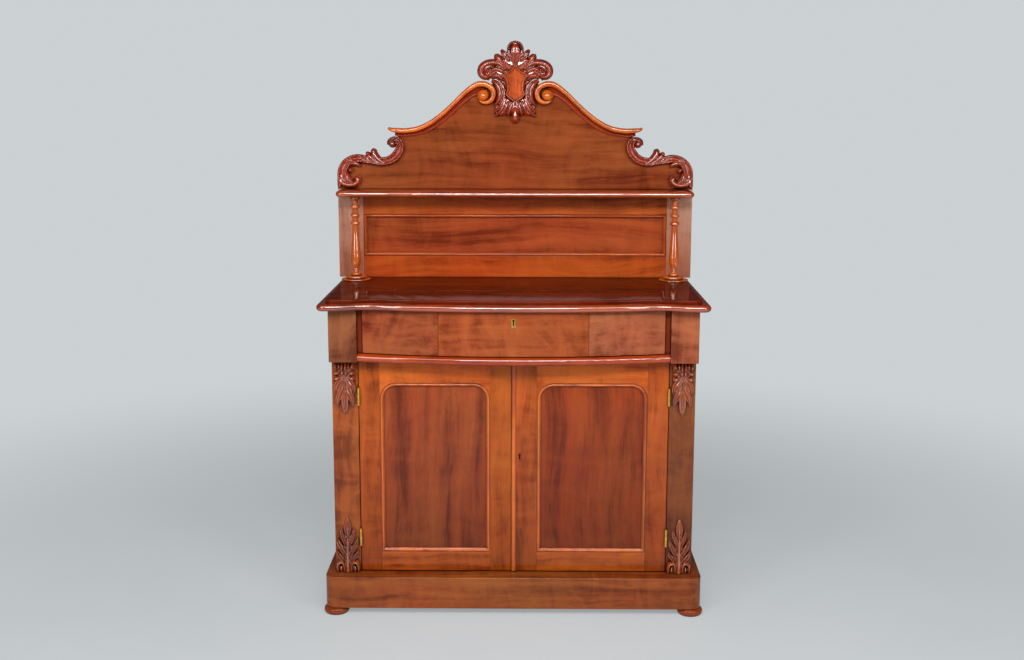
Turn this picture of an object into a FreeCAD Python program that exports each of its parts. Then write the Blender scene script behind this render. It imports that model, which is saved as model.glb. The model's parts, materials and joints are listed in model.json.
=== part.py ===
"""A bow-fronted chiffonier: plinth on bun feet, two panelled doors, a frieze drawer, a moulded
worktop and a shaped gallery with a shelf on turned columns.

Millimetres.  +X is the right-hand side as seen from the front, +Y the back, +Z up.  The origin is on
the floor, in the middle of the overall width and depth.
"""
import FreeCAD, Part

import math
import os

from FreeCAD import Placement, Rotation, Vector

# --------------------------------------------------------------------------- sizes
SIZES = (
    # worktop
    ("worktop_width", 1070.0, "side to side"),
    ("worktop_depth", 520.0, "middle of the bow to the back"),
    ("worktop_height", 912.0, "floor to the top surface"),
    ("edge_thickness", 19.0, "lower slab, with the rounded edge"),
    ("edge_rounding", 9.2, "rounding of the lower slab's edge"),
    ("tier_thickness", 11.0, "upper slab"),
    ("tier_inset", 22.0, "upper slab's edge behind the lower one's"),
    ("tier_rounding", 4.0, "rounding of the upper slab's arris"),
    ("worktop_bow", 39.0, "rise of the middle bow"),
    ("ear_width", 121.0, "side of the worktop to the break in its front"),
    ("ear_drop", 26.0, "the break, behind the tips"),
    ("worktop_corner", 22.0, "front corners of the worktop"),
    # plinth and feet
    ("foot_height", 21.0, "bun foot without its tenon"),
    ("foot_radius", 36.0, "widest part of the bun"),
    ("foot_inset", 29.0, "middle of the foot behind the plinth's faces"),
    ("foot_tenon_radius", 11.0, "tenon into the plinth"),
    ("foot_tenon_length", 26.0, "tenon into the plinth"),
    ("plinth_height", 92.0, "height of the plinth members"),
    ("plinth_overhang", 25.0, "plinth beyond the side panels"),
    ("plinth_projection", 54.5, "plinth in front of the doors"),
    ("plinth_front_depth", 92.0, "front member, front to back"),
    ("plinth_side_width", 44.0, "side members"),
    ("plinth_back_depth", 30.0, "rear member"),
    ("plinth_corner", 32.0, "rounded front corners"),
    ("glue_block", 38.0, "glue blocks in the plinth's corners"),
    # carcase
    ("carcase_width", 1018.0, "outside of the side panels"),
    ("carcase_depth", 395.0, "face of the doors to the back"),
    ("back_overhang", 10.0, "worktop behind the carcase"),
    ("side_thickness", 20.0, "side panels"),
    ("pilaster_width", 73.0, "pilasters"),
    ("frame_thickness", 22.0, "pilasters and door frames"),
    ("frieze_projection", 53.0, "frieze blocks in front of the doors"),
    ("block_width", 77.0, "frieze blocks"),
    ("reveal_width", 14.0, "stile between block and drawer"),
    ("reveal_setback", 20.0, "that stile's face behind the block's"),
    ("rail_thickness", 23.0, "nosed rail under the drawer"),
    ("rail_projection", 50.0, "ends of the rail in front of the doors"),
    ("rail_bow", 52.0, "rise of the rail's bow"),
    ("rail_back", 60.0, "rail behind the face of the doors"),
    ("rail_rounding", 11.2, "rounding of the rail's nose"),
    ("bottom_thickness", 18.0, "cupboard bottom"),
    ("back_thickness", 12.0, "back boards"),
    ("back_rebate", 10.0, "back boards let into the sides"),
    ("back_board_count", 5.0, "vertical boards of the back"),
    ("board_gap", 0.8, "between the back boards"),
    ("tie_rail_height", 30.0, "rail under the back of the worktop"),
    ("tie_rail_thickness", 22.0, "that rail, front to back"),
    ("shelf_thickness", 18.0, "cupboard shelf"),
    ("shelf_height", 420.0, "underside of the cupboard shelf over the floor"),
    ("shelf_setback", 24.0, "cupboard shelf behind the doors"),
    ("batten_width", 20.0, "shelf battens"),
    ("stop_width", 40.0, "door stops under the rail"),
    ("stop_depth", 18.0, "door stops"),
    ("stop_place", 150.0, "door stops from the middle"),
    ("door_stop_gap", 0.5, "doors to what they close against"),
    # drawer
    ("drawer_height", 126.0, "drawer opening"),
    ("drawer_gap", 1.5, "round the drawer front"),
    ("drawer_setback", 10.0, "drawer front behind the rail's nose"),
    ("drawer_front_thickness", 24.0, "bowed front"),
    ("drawer_side", 12.0, "sides and back of the drawer"),
    ("drawer_side_gap", 4.0, "opening to the drawer's side"),
    ("drawer_back_gap", 6.0, "drawer to the rail under the back of the worktop"),
    ("drawer_lap", 12.0, "sides let into the front"),
    ("drawer_rest", 0.3, "drawer's sides over the runners"),
    ("drawer_headroom", 14.0, "drawer's sides under the worktop"),
    ("drawer_bottom_thickness", 6.0, "drawer bottom"),
    ("drawer_bottom_height", 8.0, "drawer bottom over the sides' lower edge"),
    ("groove", 4.0, "drawer bottom let into the sides"),
    ("runner_width", 34.0, "runners under the drawer, inside its opening"),
    ("runner_thickness", 16.0, "runners"),
    ("guide_height", 20.0, "guides beside the drawer"),
    ("guide_gap", 2.0, "guide to drawer"),
    ("kicker_gap", 1.0, "kicker to drawer"),
    # doors
    ("door_gap", 2.0, "round the doors"),
    ("meeting_line", 6.5, "gap between the doors, left of the middle"),
    ("meeting_gap", 1.4, "between the doors"),
    ("hinge_stile_width", 58.0, "hinge stiles"),
    ("opening_inner", 66.0, "panel opening to the middle of the chiffonier"),
    ("bottom_rail_width", 56.0, "bottom rails of the doors"),
    ("top_rail_width", 66.0, "top rails of the doors"),
    ("panel_corner", 46.0, "rounded upper corners of the panel opening"),
    ("panel_thickness", 8.0, "door panels"),
    ("panel_recess", 8.0, "panel behind the frame's face"),
    ("panel_groove", 8.0, "panel let into the frame"),
    ("bead_width", 10.5, "moulding round the panels"),
    ("bead_projection", 2.4, "that moulding in front of the frame"),
    ("cock_bead_width", 12.0, "bead down the meeting edge"),
    ("cock_bead_projection", 4.0, "that bead in front of the door"),
    # hinges
    ("hinge_length", 51.0, "butt hinges"),
    ("hinge_radius", 4.0, "hinge barrels"),
    ("hinge_offset", 4.5, "middle of the barrel in front of the doors"),
    ("hinge_clearance", 0.3, "moving knuckle to the fixed leaf, and the reverse"),
    ("hinge_pin_radius", 1.8, "hinge pins"),
    ("hinge_pin_gap", 0.06, "pin to the door's knuckle"),
    ("hinge_leaf", 2.0, "thickness of the leaves"),
    ("hinge_leaf_width", 18.0, "leaves let into wood"),
    ("hinge_upper", 79.0, "top of the door to the upper hinge"),
    ("hinge_lower", 75.0, "bottom of the door to the lower hinge"),
    # locks
    ("keyhole_height", 459.0, "door's keyhole over the floor"),
    ("keyhole_offset", 17.0, "door's keyhole from the middle"),
    ("keyhole_radius", 3.2, "round part of the keyholes"),
    ("keyhole_slot", 3.2, "width of the keyholes' slot"),
    ("keyhole_drop", 14.0, "slot under the round part"),
    ("lock_width", 56.0, "lock cases along the edge"),
    ("lock_reach", 42.0, "lock cases across it"),
    ("lock_thickness", 11.0, "lock cases"),
    ("lock_wall", 2.0, "lock cases"),
    ("lock_edge", 2.0, "lock cases and keep behind the edge"),
    ("bolt_width", 20.0, "lock bolts"),
    ("bolt_length", 24.0, "lock bolts"),
    ("bolt_gap", 0.35, "bolt in its case"),
    ("bolt_throw", 11.0, "travel of the lock bolts"),
    ("strike_thickness", 1.5, "brass plate the drawer's bolt passes"),
    ("strike_margin", 8.0, "that plate round the bolt"),
    ("drawer_keyhole_drop", 24.0, "drawer's keyhole under its opening's top"),
    ("escutcheon_width", 12.0, "straight part of the brass keyhole plate"),
    ("escutcheon_radius", 6.4, "its round top"),
    ("escutcheon_below", 19.0, "that plate under it"),
    ("escutcheon_let_in", 3.0, "that plate in the wood"),
    ("escutcheon_proud", 0.4, "that plate in front of the wood"),
    # bolts of the left door
    ("slip_radius", 3.0, "bolts that hold the left door"),
    ("slip_length", 60.0, "those bolts"),
    ("slip_standoff", 6.0, "middle of the bolt behind the door"),
    ("slip_place", 30.0, "bolt from the door's meeting edge"),
    ("slip_gap", 0.3, "bolt in its housing"),
    ("slip_plate_width", 18.0, "housing of the bolt"),
    ("slip_plate_length", 36.0, "housing of the bolt"),
    ("slip_plate_margin", 12.0, "bolt's end beyond its housing"),
    ("slip_start", 4.0, "drawn bolt short of its hole"),
    ("slip_throw", 13.0, "travel of those bolts"),
    # carved leaves
    ("leaf_width", 62.0, "widest part of the leaves"),
    ("upper_leaf_length", 158.0, "leaf under the frieze block"),
    ("upper_leaf_depth", 34.0, "that leaf at its top"),
    ("lower_leaf_length", 157.0, "leaf on the plinth"),
    ("lower_leaf_depth", 24.0, "that leaf at its foot"),
    ("leaf_tip_depth", 7.0, "leaves at their tips"),
    # gallery
    ("gallery_thickness", 20.0, "boards of the gallery"),
    ("gallery_stile", 76.0, "stiles of the gallery"),
    ("gallery_low_rail", 65.0, "rail on the worktop"),
    ("gallery_opening", 127.0, "panel opening of the gallery"),
    ("column_height", 251.0, "worktop to the gallery's shelf"),
    ("gallery_shelf_thickness", 17.0, "shelf on the columns"),
    ("gallery_shelf_width", 1056.0, "shelf on the columns"),
    ("gallery_shelf_depth", 118.0, "middle of the shelf's bow to the gallery"),
    ("gallery_shelf_bow", 9.0, "rise of the shelf's bow"),
    ("gallery_shelf_ear", 118.0, "side of the shelf to the break in its front"),
    ("gallery_shelf_drop", 6.0, "the break, behind the tips"),
    ("gallery_shelf_corner", 16.0, "front corners of the shelf"),
    ("gallery_shelf_rounding", 8.2, "rounding of the shelf's edge"),
    ("dowel_radius", 5.0, "dowels from the gallery to the worktop"),
    ("dowel_length", 36.0, "those dowels"),
    ("column_place", 58.0, "middle of the columns in front of the gallery"),
    ("column_inset", 58.0, "middle of the columns from the gallery's sides"),
    ("column_base", 44.0, "radius of the columns' base"),
    ("column_tenon_radius", 7.0, "tenons of the columns"),
    ("column_tenon_length", 10.0, "tenons of the columns"),
    ("board_rise", 320.0, "gallery's shaped board to the top of its arch"),
    ("arch_tip_inset", 151.0, "arch moulding's outer tip from the gallery's side"),
    ("arch_tip_rise", 185.0, "that tip over the shelf"),
    ("arch_width", 17.0, "rounded moulding of the arch"),
    ("arch_depth", 22.0, "that moulding in front of the board"),
    ("fillet_width", 15.0, "flat under the rounded moulding"),
    ("fillet_depth", 9.0, "that flat in front of the board"),
    ("volute_radius", 33.0, "scrolled end of the arch moulding"),
    ("volute_place", 88.0, "that scroll from the middle"),
    ("volute_rim", 13.0, "groove of that scroll inside its edge"),
    ("volute_groove", 3.2, "radius of that groove"),
    ("scroll_rise", 152.0, "carved scrolls over the shelf"),
    ("scroll_ball", 12.0, "ball at the end of the carved scrolls"),
    ("scroll_depth", 22.0, "carved scrolls in front of the board"),
    ("crest_rise", 440.0, "top of the carved crest over the shelf"),
    ("crest_height", 248.0, "carved crest from its knob to its drop"),
    ("crest_depth", 24.0, "carved crest in front of the board"),
    ("shield_depth", 8.0, "shield in front of the crest"),
    ("carving_gap", 0.4, "crest to the scrolled ends"),
)

doc = FreeCAD.newDocument("chiffonier")
sheet = doc.addObject("Spreadsheet::Sheet", "Sizes")
for row, (alias, value, meaning) in enumerate(SIZES, start=1):
    sheet.set(f"A{row}", meaning)
    sheet.set(f"B{row}", str(value))
    sheet.setAlias(f"B{row}", alias)
doc.recompute()


class Size(float):
    """A number that keeps the cell expression it came from, so that a property can be bound to it."""

    def __new__(cls, value, text=None):
        made = float.__new__(cls, value)
        made.text = text or getattr(value, "text", f"{float(value):g}")
        return made

    def join(self, sign, other, value):
        return Size(value, f"({self.text} {sign} {Size(other).text})")

    def __add__(self, other):
        return self.join("+", other, float(self) + float(other))

    def __sub__(self, other):
        return self.join("-", other, float(self) - float(other))

    def __mul__(self, other):
        return self.join("*", other, float(self) * float(other))

    def __truediv__(self, other):
        return self.join("/", other, float(self) / float(other))

    def __neg__(self):
        return Size(-float(self), f"(0 - {self.text})")


def cell(alias):
    return Size(sheet.get(alias), f"Sizes.{alias}")


ZERO = Size(0)
LEFT, RIGHT = -1, 1
SIDES = ((LEFT, "left"), (RIGHT, "right"))
pieces = {}
sets = {}


# --------------------------------------------------------------------------- helpers
def piece(label, made):
    """Register a finished sub-part: its Label is its node's name."""
    made.Label = label
    pieces[label] = made
    return made


def part_of(label, made):
    """Collect one of several like pieces that share a node."""
    sets.setdefault(label, []).append(made)
    return made


def span(side, inner, outer):
    """The X range from inner to outer on one side of the middle."""
    return (inner, outer) if side == RIGHT else (-outer, -inner)


def box(name, x, y, z):
    made = doc.addObject("Part::Box", name)
    for axis, length, (low, high) in zip("xyz", ("Length", "Width", "Height"), (x, y, z)):
        made.setExpression(f"Placement.Base.{axis}", Size(low).text)
        made.setExpression(length, (Size(high) - low).text)
    return made


TURNS = {
    "x": Rotation(Vector(0, 1, 0), 90),
    "y": Rotation(Vector(1, 0, 0), -90),
    "z": Rotation(),
}


def rod(name, radius, start, length, along="z"):
    """A cylinder from its start point, along one axis."""
    made = doc.addObject("Part::Cylinder", name)
    made.Placement = Placement(Vector(), TURNS[along])
    for axis, place in zip("xyz", start):
        made.setExpression(f"Placement.Base.{axis}", Size(place).text)
    made.setExpression("Radius", Size(radius).text)
    made.setExpression("Height", Size(length).text)
    return made


def fuse(name, *parts):
    made = doc.addObject("Part::MultiFuse", name)
    made.Shapes = list(parts)
    return made


def group(name, *parts):
    made = doc.addObject("Part::Compound", name)
    made.Links = list(parts)
    return made


def cut(name, base, *tools):
    made = doc.addObject("Part::Cut", name)
    made.Base = base
    made.Tool = tools[0] if len(tools) == 1 else fuse(f"{name}_tools", *tools)
    return made


def common(name, *parts):
    made = doc.addObject("Part::MultiCommon", name)
    made.Shapes = list(parts)
    return made


def solid(name, shape):
    """A piece whose outline no primitive has."""
    made = doc.addObject("Part::Feature", name)
    made.Shape = shape
    return made


def rounded(name, base, radius, chosen):
    """Round the chosen edges of a finished shape."""
    doc.recompute()
    made = doc.addObject("Part::Fillet", name)
    made.Base = base
    edges = enumerate(base.Shape.Edges, start=1)
    made.Edges = [(number, float(radius), float(radius)) for number, edge in edges if chosen(edge)]
    return made


def bowed(name, half, ends, rise, back, z):
    """A block whose front is an arc in plan, from its ends forward by the rise."""
    radius = (half * half + rise * rise) / (rise * 2)
    blank = box(f"{name}_blank", (-half, half), (ends - rise, back), z)
    drum = rod(f"{name}_drum", radius, (ZERO, ends - rise + radius, z[0]), z[1] - z[0])
    return common(name, blank, drum)


def at(x, y, z):
    return Vector(float(x), float(y), float(z))


def line(start, end):
    return Part.LineSegment(start, end).toShape()


def arc(start, middle, end):
    return Part.Arc(start, middle, end).toShape()


def smooth(points):
    curve = Part.BSplineCurve()
    curve.interpolate(points)
    return curve.toShape()


def prism(edges, direction):
    wire = Part.Wire(Part.__sortEdges__(edges))
    return Part.Face(wire).extrude(direction)


def mirrored(shape):
    return shape.mirror(Vector(), Vector(1, 0, 0))


def one_side(shape, side):
    """Shapes are drawn on the right; the left one is its mirror image."""
    return shape if side == RIGHT else mirrored(shape)


# --------------------------------------------------------------------------- main places
middle_back = cell("worktop_depth") / 2
carcase_back = middle_back - cell("back_overhang")
door_face = carcase_back - cell("carcase_depth")
frame_back = door_face + cell("frame_thickness")
block_face = door_face - cell("frieze_projection")
plinth_face = door_face - cell("plinth_projection")
plinth_top = cell("foot_height") + cell("plinth_height")
floor_top = plinth_top + cell("bottom_thickness")
worktop_top = cell("worktop_height")
edge_top = worktop_top - cell("tier_thickness")
carcase_top = edge_top - cell("edge_thickness")
drawer_floor = carcase_top - cell("drawer_height")
rail_under = drawer_floor - cell("rail_thickness")
carcase_half = cell("carcase_width") / 2
side_inner = carcase_half - cell("side_thickness")
pilaster_inner = carcase_half - cell("pilaster_width")
block_inner = carcase_half - cell("block_width")
opening_half = block_inner - cell("reveal_width")
back_front = carcase_back - cell("back_thickness")
rail_ends = door_face - cell("rail_projection")
gallery_half = cell("worktop_width") / 2
gallery_face = middle_back - cell("gallery_thickness")


# --------------------------------------------------------------------------- plinth and feet
def foot(name, x, y):
    """A flattened bun with a round tenon."""
    height = cell("foot_height")
    radius = cell("foot_radius")
    tenon = cell("foot_tenon_radius")
    tip = height + cell("foot_tenon_length")
    sole = radius * 0.84
    neck = radius * 0.8
    edges = [
        line(at(0, 0, 0), at(sole, 0, 0)),
        arc(at(sole, 0, 0), at(radius, 0, height * 0.48), at(neck, 0, height)),
        line(at(neck, 0, height), at(tenon, 0, height)),
        line(at(tenon, 0, height), at(tenon, 0, tip)),
        line(at(tenon, 0, tip), at(0, 0, tip)),
        line(at(0, 0, tip), at(0, 0, 0)),
    ]
    made = solid(name, Part.Face(Part.Wire(edges)).revolve(Vector(), Vector(0, 0, 1), 360))
    made.Placement = Placement(at(x, y, 0), Rotation())
    return made


def plinth():
    half = carcase_half + cell("plinth_overhang")
    low = cell("foot_height")
    front_back = plinth_face + cell("plinth_front_depth")
    side_face = half - cell("plinth_side_width")
    back_face = carcase_back - cell("plinth_back_depth")
    height = (low, plinth_top)
    across = half - cell("foot_inset")
    places = (("front", plinth_face + cell("foot_inset")), ("back", carcase_back - cell("foot_inset")))
    sockets = {}
    for side, hand in SIDES:
        for end, y in places:
            x = across * side
            part_of("bun_feet", foot(f"foot_{end}_{hand}", x, y))
            socket = rod(f"socket_{end}_{hand}", cell("foot_tenon_radius"), (x, y, low),
                         cell("foot_tenon_length"))
            sockets[end, hand] = socket
    front = box("plinth_front_blank", (-half, half), (plinth_face, front_back), height)

    def is_front_corner(edge):
        upright = abs(edge.Vertexes[0].Z - edge.Vertexes[-1].Z) > 1
        return upright and edge.CenterOfMass.y < float(plinth_face) + 1

    front = rounded("plinth_front_rounded", front, cell("plinth_corner"), is_front_corner)
    fronts = [sockets["front", hand] for side, hand in SIDES]
    piece("plinth_front", cut("plinth_front", front, *fronts))
    for side, hand in SIDES:
        reach = (front_back, carcase_back)
        member = box(f"plinth_{hand}_blank", span(side, side_face, half), reach, height)
        part_of("plinth_sides", cut(f"plinth_{hand}", member, sockets["back", hand]))
        corners = {"front": (front_back, front_back + cell("glue_block")),
                   "back": (back_face - cell("glue_block"), back_face)}
        for end, y in corners.items():
            x = span(side, side_face - cell("glue_block"), side_face)
            part_of("plinth_glue_blocks", box(f"glue_block_{end}_{hand}", x, y, height))
    back = box("plinth_back", (-side_face, side_face), (back_face, carcase_back), height)
    piece("plinth_back", back)


# --------------------------------------------------------------------------- carcase
def carcase():
    for side, hand in SIDES:
        panel = box(f"side_{hand}_blank", span(side, side_inner, carcase_half),
                    (frame_back, carcase_back), (plinth_top, carcase_top))
        rebate = box(f"side_{hand}_rebate", span(side, side_inner, side_inner + cell("back_rebate")),
                     (back_front, carcase_back), (plinth_top, carcase_top))
        part_of("side_panels", cut(f"side_panel_{hand}", panel, rebate))
        block = box(f"frieze_block_{hand}", span(side, block_inner, carcase_half),
                    (block_face, frame_back), (rail_under, carcase_top))
        part_of("frieze_blocks", block)
        reveal = box(f"drawer_stile_{hand}", span(side, opening_half, block_inner),
                     (block_face + cell("reveal_setback"), frame_back), (drawer_floor, carcase_top))
        part_of("drawer_stiles", reveal)
    backs()
    rails()
    cupboard()


def backs():
    """Vertical boards between the rebates, a hair apart."""
    half = side_inner + cell("back_rebate")
    count = int(cell("back_board_count"))
    pitch = half * 2 / cell("back_board_count")
    gap = cell("board_gap")
    depth = (back_front, carcase_back)
    for number in range(count):
        start = pitch * number - half
        end = start + pitch - (gap if number < count - 1 else ZERO)
        board = box(f"back_board_{number}", (start, end), depth, (plinth_top, carcase_top))
        part_of("back_boards", board)
    tie_depth = (back_front - cell("tie_rail_thickness"), back_front)
    tie_height = (carcase_top - cell("tie_rail_height"), carcase_top)
    piece("back_top_rail", box("back_top_rail", (-side_inner, side_inner), tie_depth, tie_height))


def rails():
    """The bowed rail under the drawer, with the parts that carry and guide the drawer."""
    height = (rail_under, drawer_floor)
    back = door_face + cell("rail_back")
    nose = bowed("rail_nose", block_inner, rail_ends, cell("rail_bow"), back, height)

    def is_nose(edge):
        low, high = float(rail_under), float(drawer_floor)
        level = abs(edge.CenterOfMass.z - low) < 0.01 or abs(edge.CenterOfMass.z - high) < 0.01
        return level and len(edge.Vertexes) == 2 and isinstance(edge.Curve, Part.Circle)

    nose = rounded("rail_nose_rounded", nose, cell("rail_rounding"), is_nose)
    tail = box("rail_tail", (-side_inner, side_inner), (frame_back, back), height)
    rail = fuse("drawer_rail_blank", nose, tail)
    start = (left_slip_x, slip_y, rail_under)
    hole = rod("slip_hole_top", cell("slip_radius") + cell("slip_gap"), start, cell("slip_throw"))
    piece("drawer_rail", cut("drawer_rail", rail, hole))
    inner = opening_half - cell("runner_width")
    guide_inner = opening_half - cell("drawer_side_gap") + cell("guide_gap")
    kicker_low = carcase_top - cell("drawer_headroom") + cell("kicker_gap")
    for side, hand in SIDES:
        depth = (back, back_front)
        runner = box(f"drawer_runner_{hand}", span(side, inner, side_inner), depth,
                     (drawer_floor - cell("runner_thickness"), drawer_floor))
        part_of("drawer_runners", runner)
        guide = box(f"guide_{hand}", span(side, guide_inner, side_inner), depth,
                    (drawer_floor, drawer_floor + cell("guide_height")))
        part_of("drawer_runners", guide)
        kicker = box(f"kicker_{hand}", span(side, inner, side_inner),
                     (back, back_front - cell("tie_rail_thickness")), (kicker_low, carcase_top))
        part_of("drawer_kickers", kicker)
        place = cell("stop_place")
        x = span(side, place - cell("stop_width") / 2, place + cell("stop_width") / 2)
        face = frame_back + cell("door_stop_gap")
        stop = box(f"door_stop_{hand}", x, (face, face + cell("stop_depth")),
                   (rail_under - cell("stop_depth"), rail_under))
        part_of("door_stops", stop)


def cupboard():
    front = frame_back + cell("door_stop_gap")
    board = box("bottom_blank", (-side_inner, side_inner), (front, back_front), (plinth_top, floor_top))
    start = (left_slip_x, slip_y, floor_top - cell("slip_throw"))
    hole = rod("slip_hole_bottom", cell("slip_radius") + cell("slip_gap"), start, cell("slip_throw"))
    piece("cupboard_bottom", cut("cupboard_bottom", board, hole))
    low = cell("shelf_height")
    depth = (frame_back + cell("shelf_setback"), back_front)
    shelf = box("cupboard_shelf", (-side_inner, side_inner), depth, (low, low + cell("shelf_thickness")))
    piece("cupboard_shelf", shelf)
    for side, hand in SIDES:
        batten = box(f"batten_{hand}", span(side, side_inner - cell("batten_width"), side_inner), depth,
                     (low - cell("batten_width"), low))
        part_of("shelf_battens", batten)


# --------------------------------------------------------------------------- worktop
BOW_STEPS = 5
LOBE_STEPS = 3


def serpentine(half, bow_front, rise, ear, drop, corner, back, low, thickness):
    """A slab with two lobed ends and a bowed middle.  The bow and the lobes are arcs, and a smooth
    curve through them softens the two breaks between them."""
    tip = bow_front + rise - drop
    width = ear - corner
    reach = half - ear
    lobe = (width * width + drop * drop) / (2 * drop)
    bow = (reach * reach + rise * rise) / (2 * rise)
    turn = corner * (1 - math.sqrt(0.5))
    soft = width / 5
    right = []
    for step in range(1, BOW_STEPS + 1):
        x = float(reach - soft) * step / BOW_STEPS
        right.append((x, float(bow_front + bow) - math.sqrt(bow * bow - x * x)))
    for step in range(LOBE_STEPS + 1):
        inward = float(width - soft) * (1 - step / LOBE_STEPS)
        forward = math.sqrt(lobe * lobe - inward * inward)
        right.append((float(half - corner) - inward, float(tip + lobe) - forward))
    points = [at(-x, y, low) for x, y in reversed(right)]
    points.append(at(0, bow_front, low))
    points += [at(x, y, low) for x, y in right]
    front = Part.BSplineCurve()
    front.interpolate(points)
    edges = [front.toShape()]
    for side in (LEFT, RIGHT):
        start = at(side * (half - corner), tip, low)
        end = at(side * half, tip + corner, low)
        edges.append(arc(start, at(side * (half - turn), tip + turn, low), end))
        edges.append(line(end, at(side * half, back, low)))
    edges.append(line(at(-half, back, low), at(half, back, low)))
    return prism(edges, Vector(0, 0, float(thickness)))


def round_edge(shape, radius, back, levels):
    """Round the front and side arrises of a slab at the given heights."""
    chosen = []
    for edge in shape.Edges:
        ends = [vertex.Z for vertex in edge.Vertexes]
        level = max(ends) - min(ends) < 0.01 and any(abs(ends[0] - float(z)) < 0.01 for z in levels)
        at_back = all(abs(vertex.Y - float(back)) < 0.01 for vertex in edge.Vertexes)
        if level and not at_back:
            chosen.append(edge)
    return shape.makeFillet(float(radius), chosen)


def worktop():
    half = cell("worktop_width") / 2
    front = -middle_back
    plan = (cell("worktop_bow"), cell("ear_width"), cell("ear_drop"), cell("worktop_corner"))
    slab = serpentine(half, front, *plan, middle_back, carcase_top, cell("edge_thickness"))
    slab = solid("edge_slab", round_edge(slab, cell("edge_rounding"), middle_back, (carcase_top, edge_top)))
    inset = cell("tier_inset")
    tier = serpentine(half - inset, front + inset, *plan, middle_back, edge_top, cell("tier_thickness"))
    tier = solid("tier_slab", round_edge(tier, cell("tier_rounding"), middle_back, (worktop_top,)))
    dowels = []
    tenons = []
    deep = cell("dowel_length") / 2
    for side, hand in SIDES:
        x = (gallery_half - cell("gallery_stile") / 2) * side
        start = (x, gallery_face + cell("gallery_thickness") / 2, worktop_top - deep)
        dowel = rod(f"dowel_{hand}", cell("dowel_radius"), start, cell("dowel_length"))
        dowels.append(part_of("gallery_dowels", dowel))
        deep_tenon = cell("column_tenon_length")
        start = (column_x * side, column_y, worktop_top - deep_tenon)
        tenons.append(rod(f"column_mortise_{hand}", cell("column_tenon_radius"), start, deep_tenon))
    strike_room, strike = strike_plate()
    piece("worktop_edge", cut("worktop_edge", slab, strike_room, *dowels))
    piece("worktop", cut("worktop", tier, *dowels, *tenons))
    piece("drawer_strike_plate", strike)


def strike_plate():
    """The plate under the worktop that the drawer's bolt passes, and the room for both."""
    wide = cell("bolt_width") / 2 + cell("bolt_gap")
    thick = bolt_thickness / 2 + cell("bolt_gap")
    margin = cell("strike_margin")
    top = carcase_top + cell("strike_thickness")
    y = (drawer_bolt_y - thick, drawer_bolt_y + thick)
    mortise = box("strike_mortise", (-wide, wide), y, (carcase_top, carcase_top + cell("bolt_throw")))
    plate_y = (y[0] - cell("lock_wall"), y[1] + margin)
    outside = ((-wide - margin, wide + margin), plate_y, (carcase_top, top))
    plate = cut("drawer_strike_plate", box("strike_blank", *outside), mortise)
    return fuse("strike_room", mortise, box("strike_recess", *outside)), plate


# --------------------------------------------------------------------------- drawer
drawer_half = opening_half - cell("drawer_gap")
drawer_ends = rail_ends + cell("drawer_setback")
drawer_low = drawer_floor + cell("drawer_gap")
drawer_high = carcase_top - cell("drawer_gap")
drawer_nose = drawer_ends - cell("rail_bow")
drawer_lining = drawer_nose + cell("drawer_front_thickness")
drawer_bolt_y = drawer_lining + cell("lock_thickness") / 2 - cell("lock_wall")
bolt_thickness = cell("lock_thickness") - cell("lock_wall") * 2 - cell("bolt_gap") * 2
drawer_back = back_front - cell("tie_rail_thickness") - cell("drawer_back_gap")
drawer_side_out = opening_half - cell("drawer_side_gap")
drawer_side_in = drawer_side_out - cell("drawer_side")


def keyhole(name, x, z, start, length):
    """A round hole over a slot, along Y."""
    radius = cell("keyhole_radius")
    hole = rod(f"{name}_round", radius, (x, start, z), length, "y")
    slot = cell("keyhole_slot") / 2
    drop = box(f"{name}_slot", (x - slot, x + slot), (start, start + length), (z - cell("keyhole_drop"), z))
    return fuse(name, hole, drop)


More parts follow.
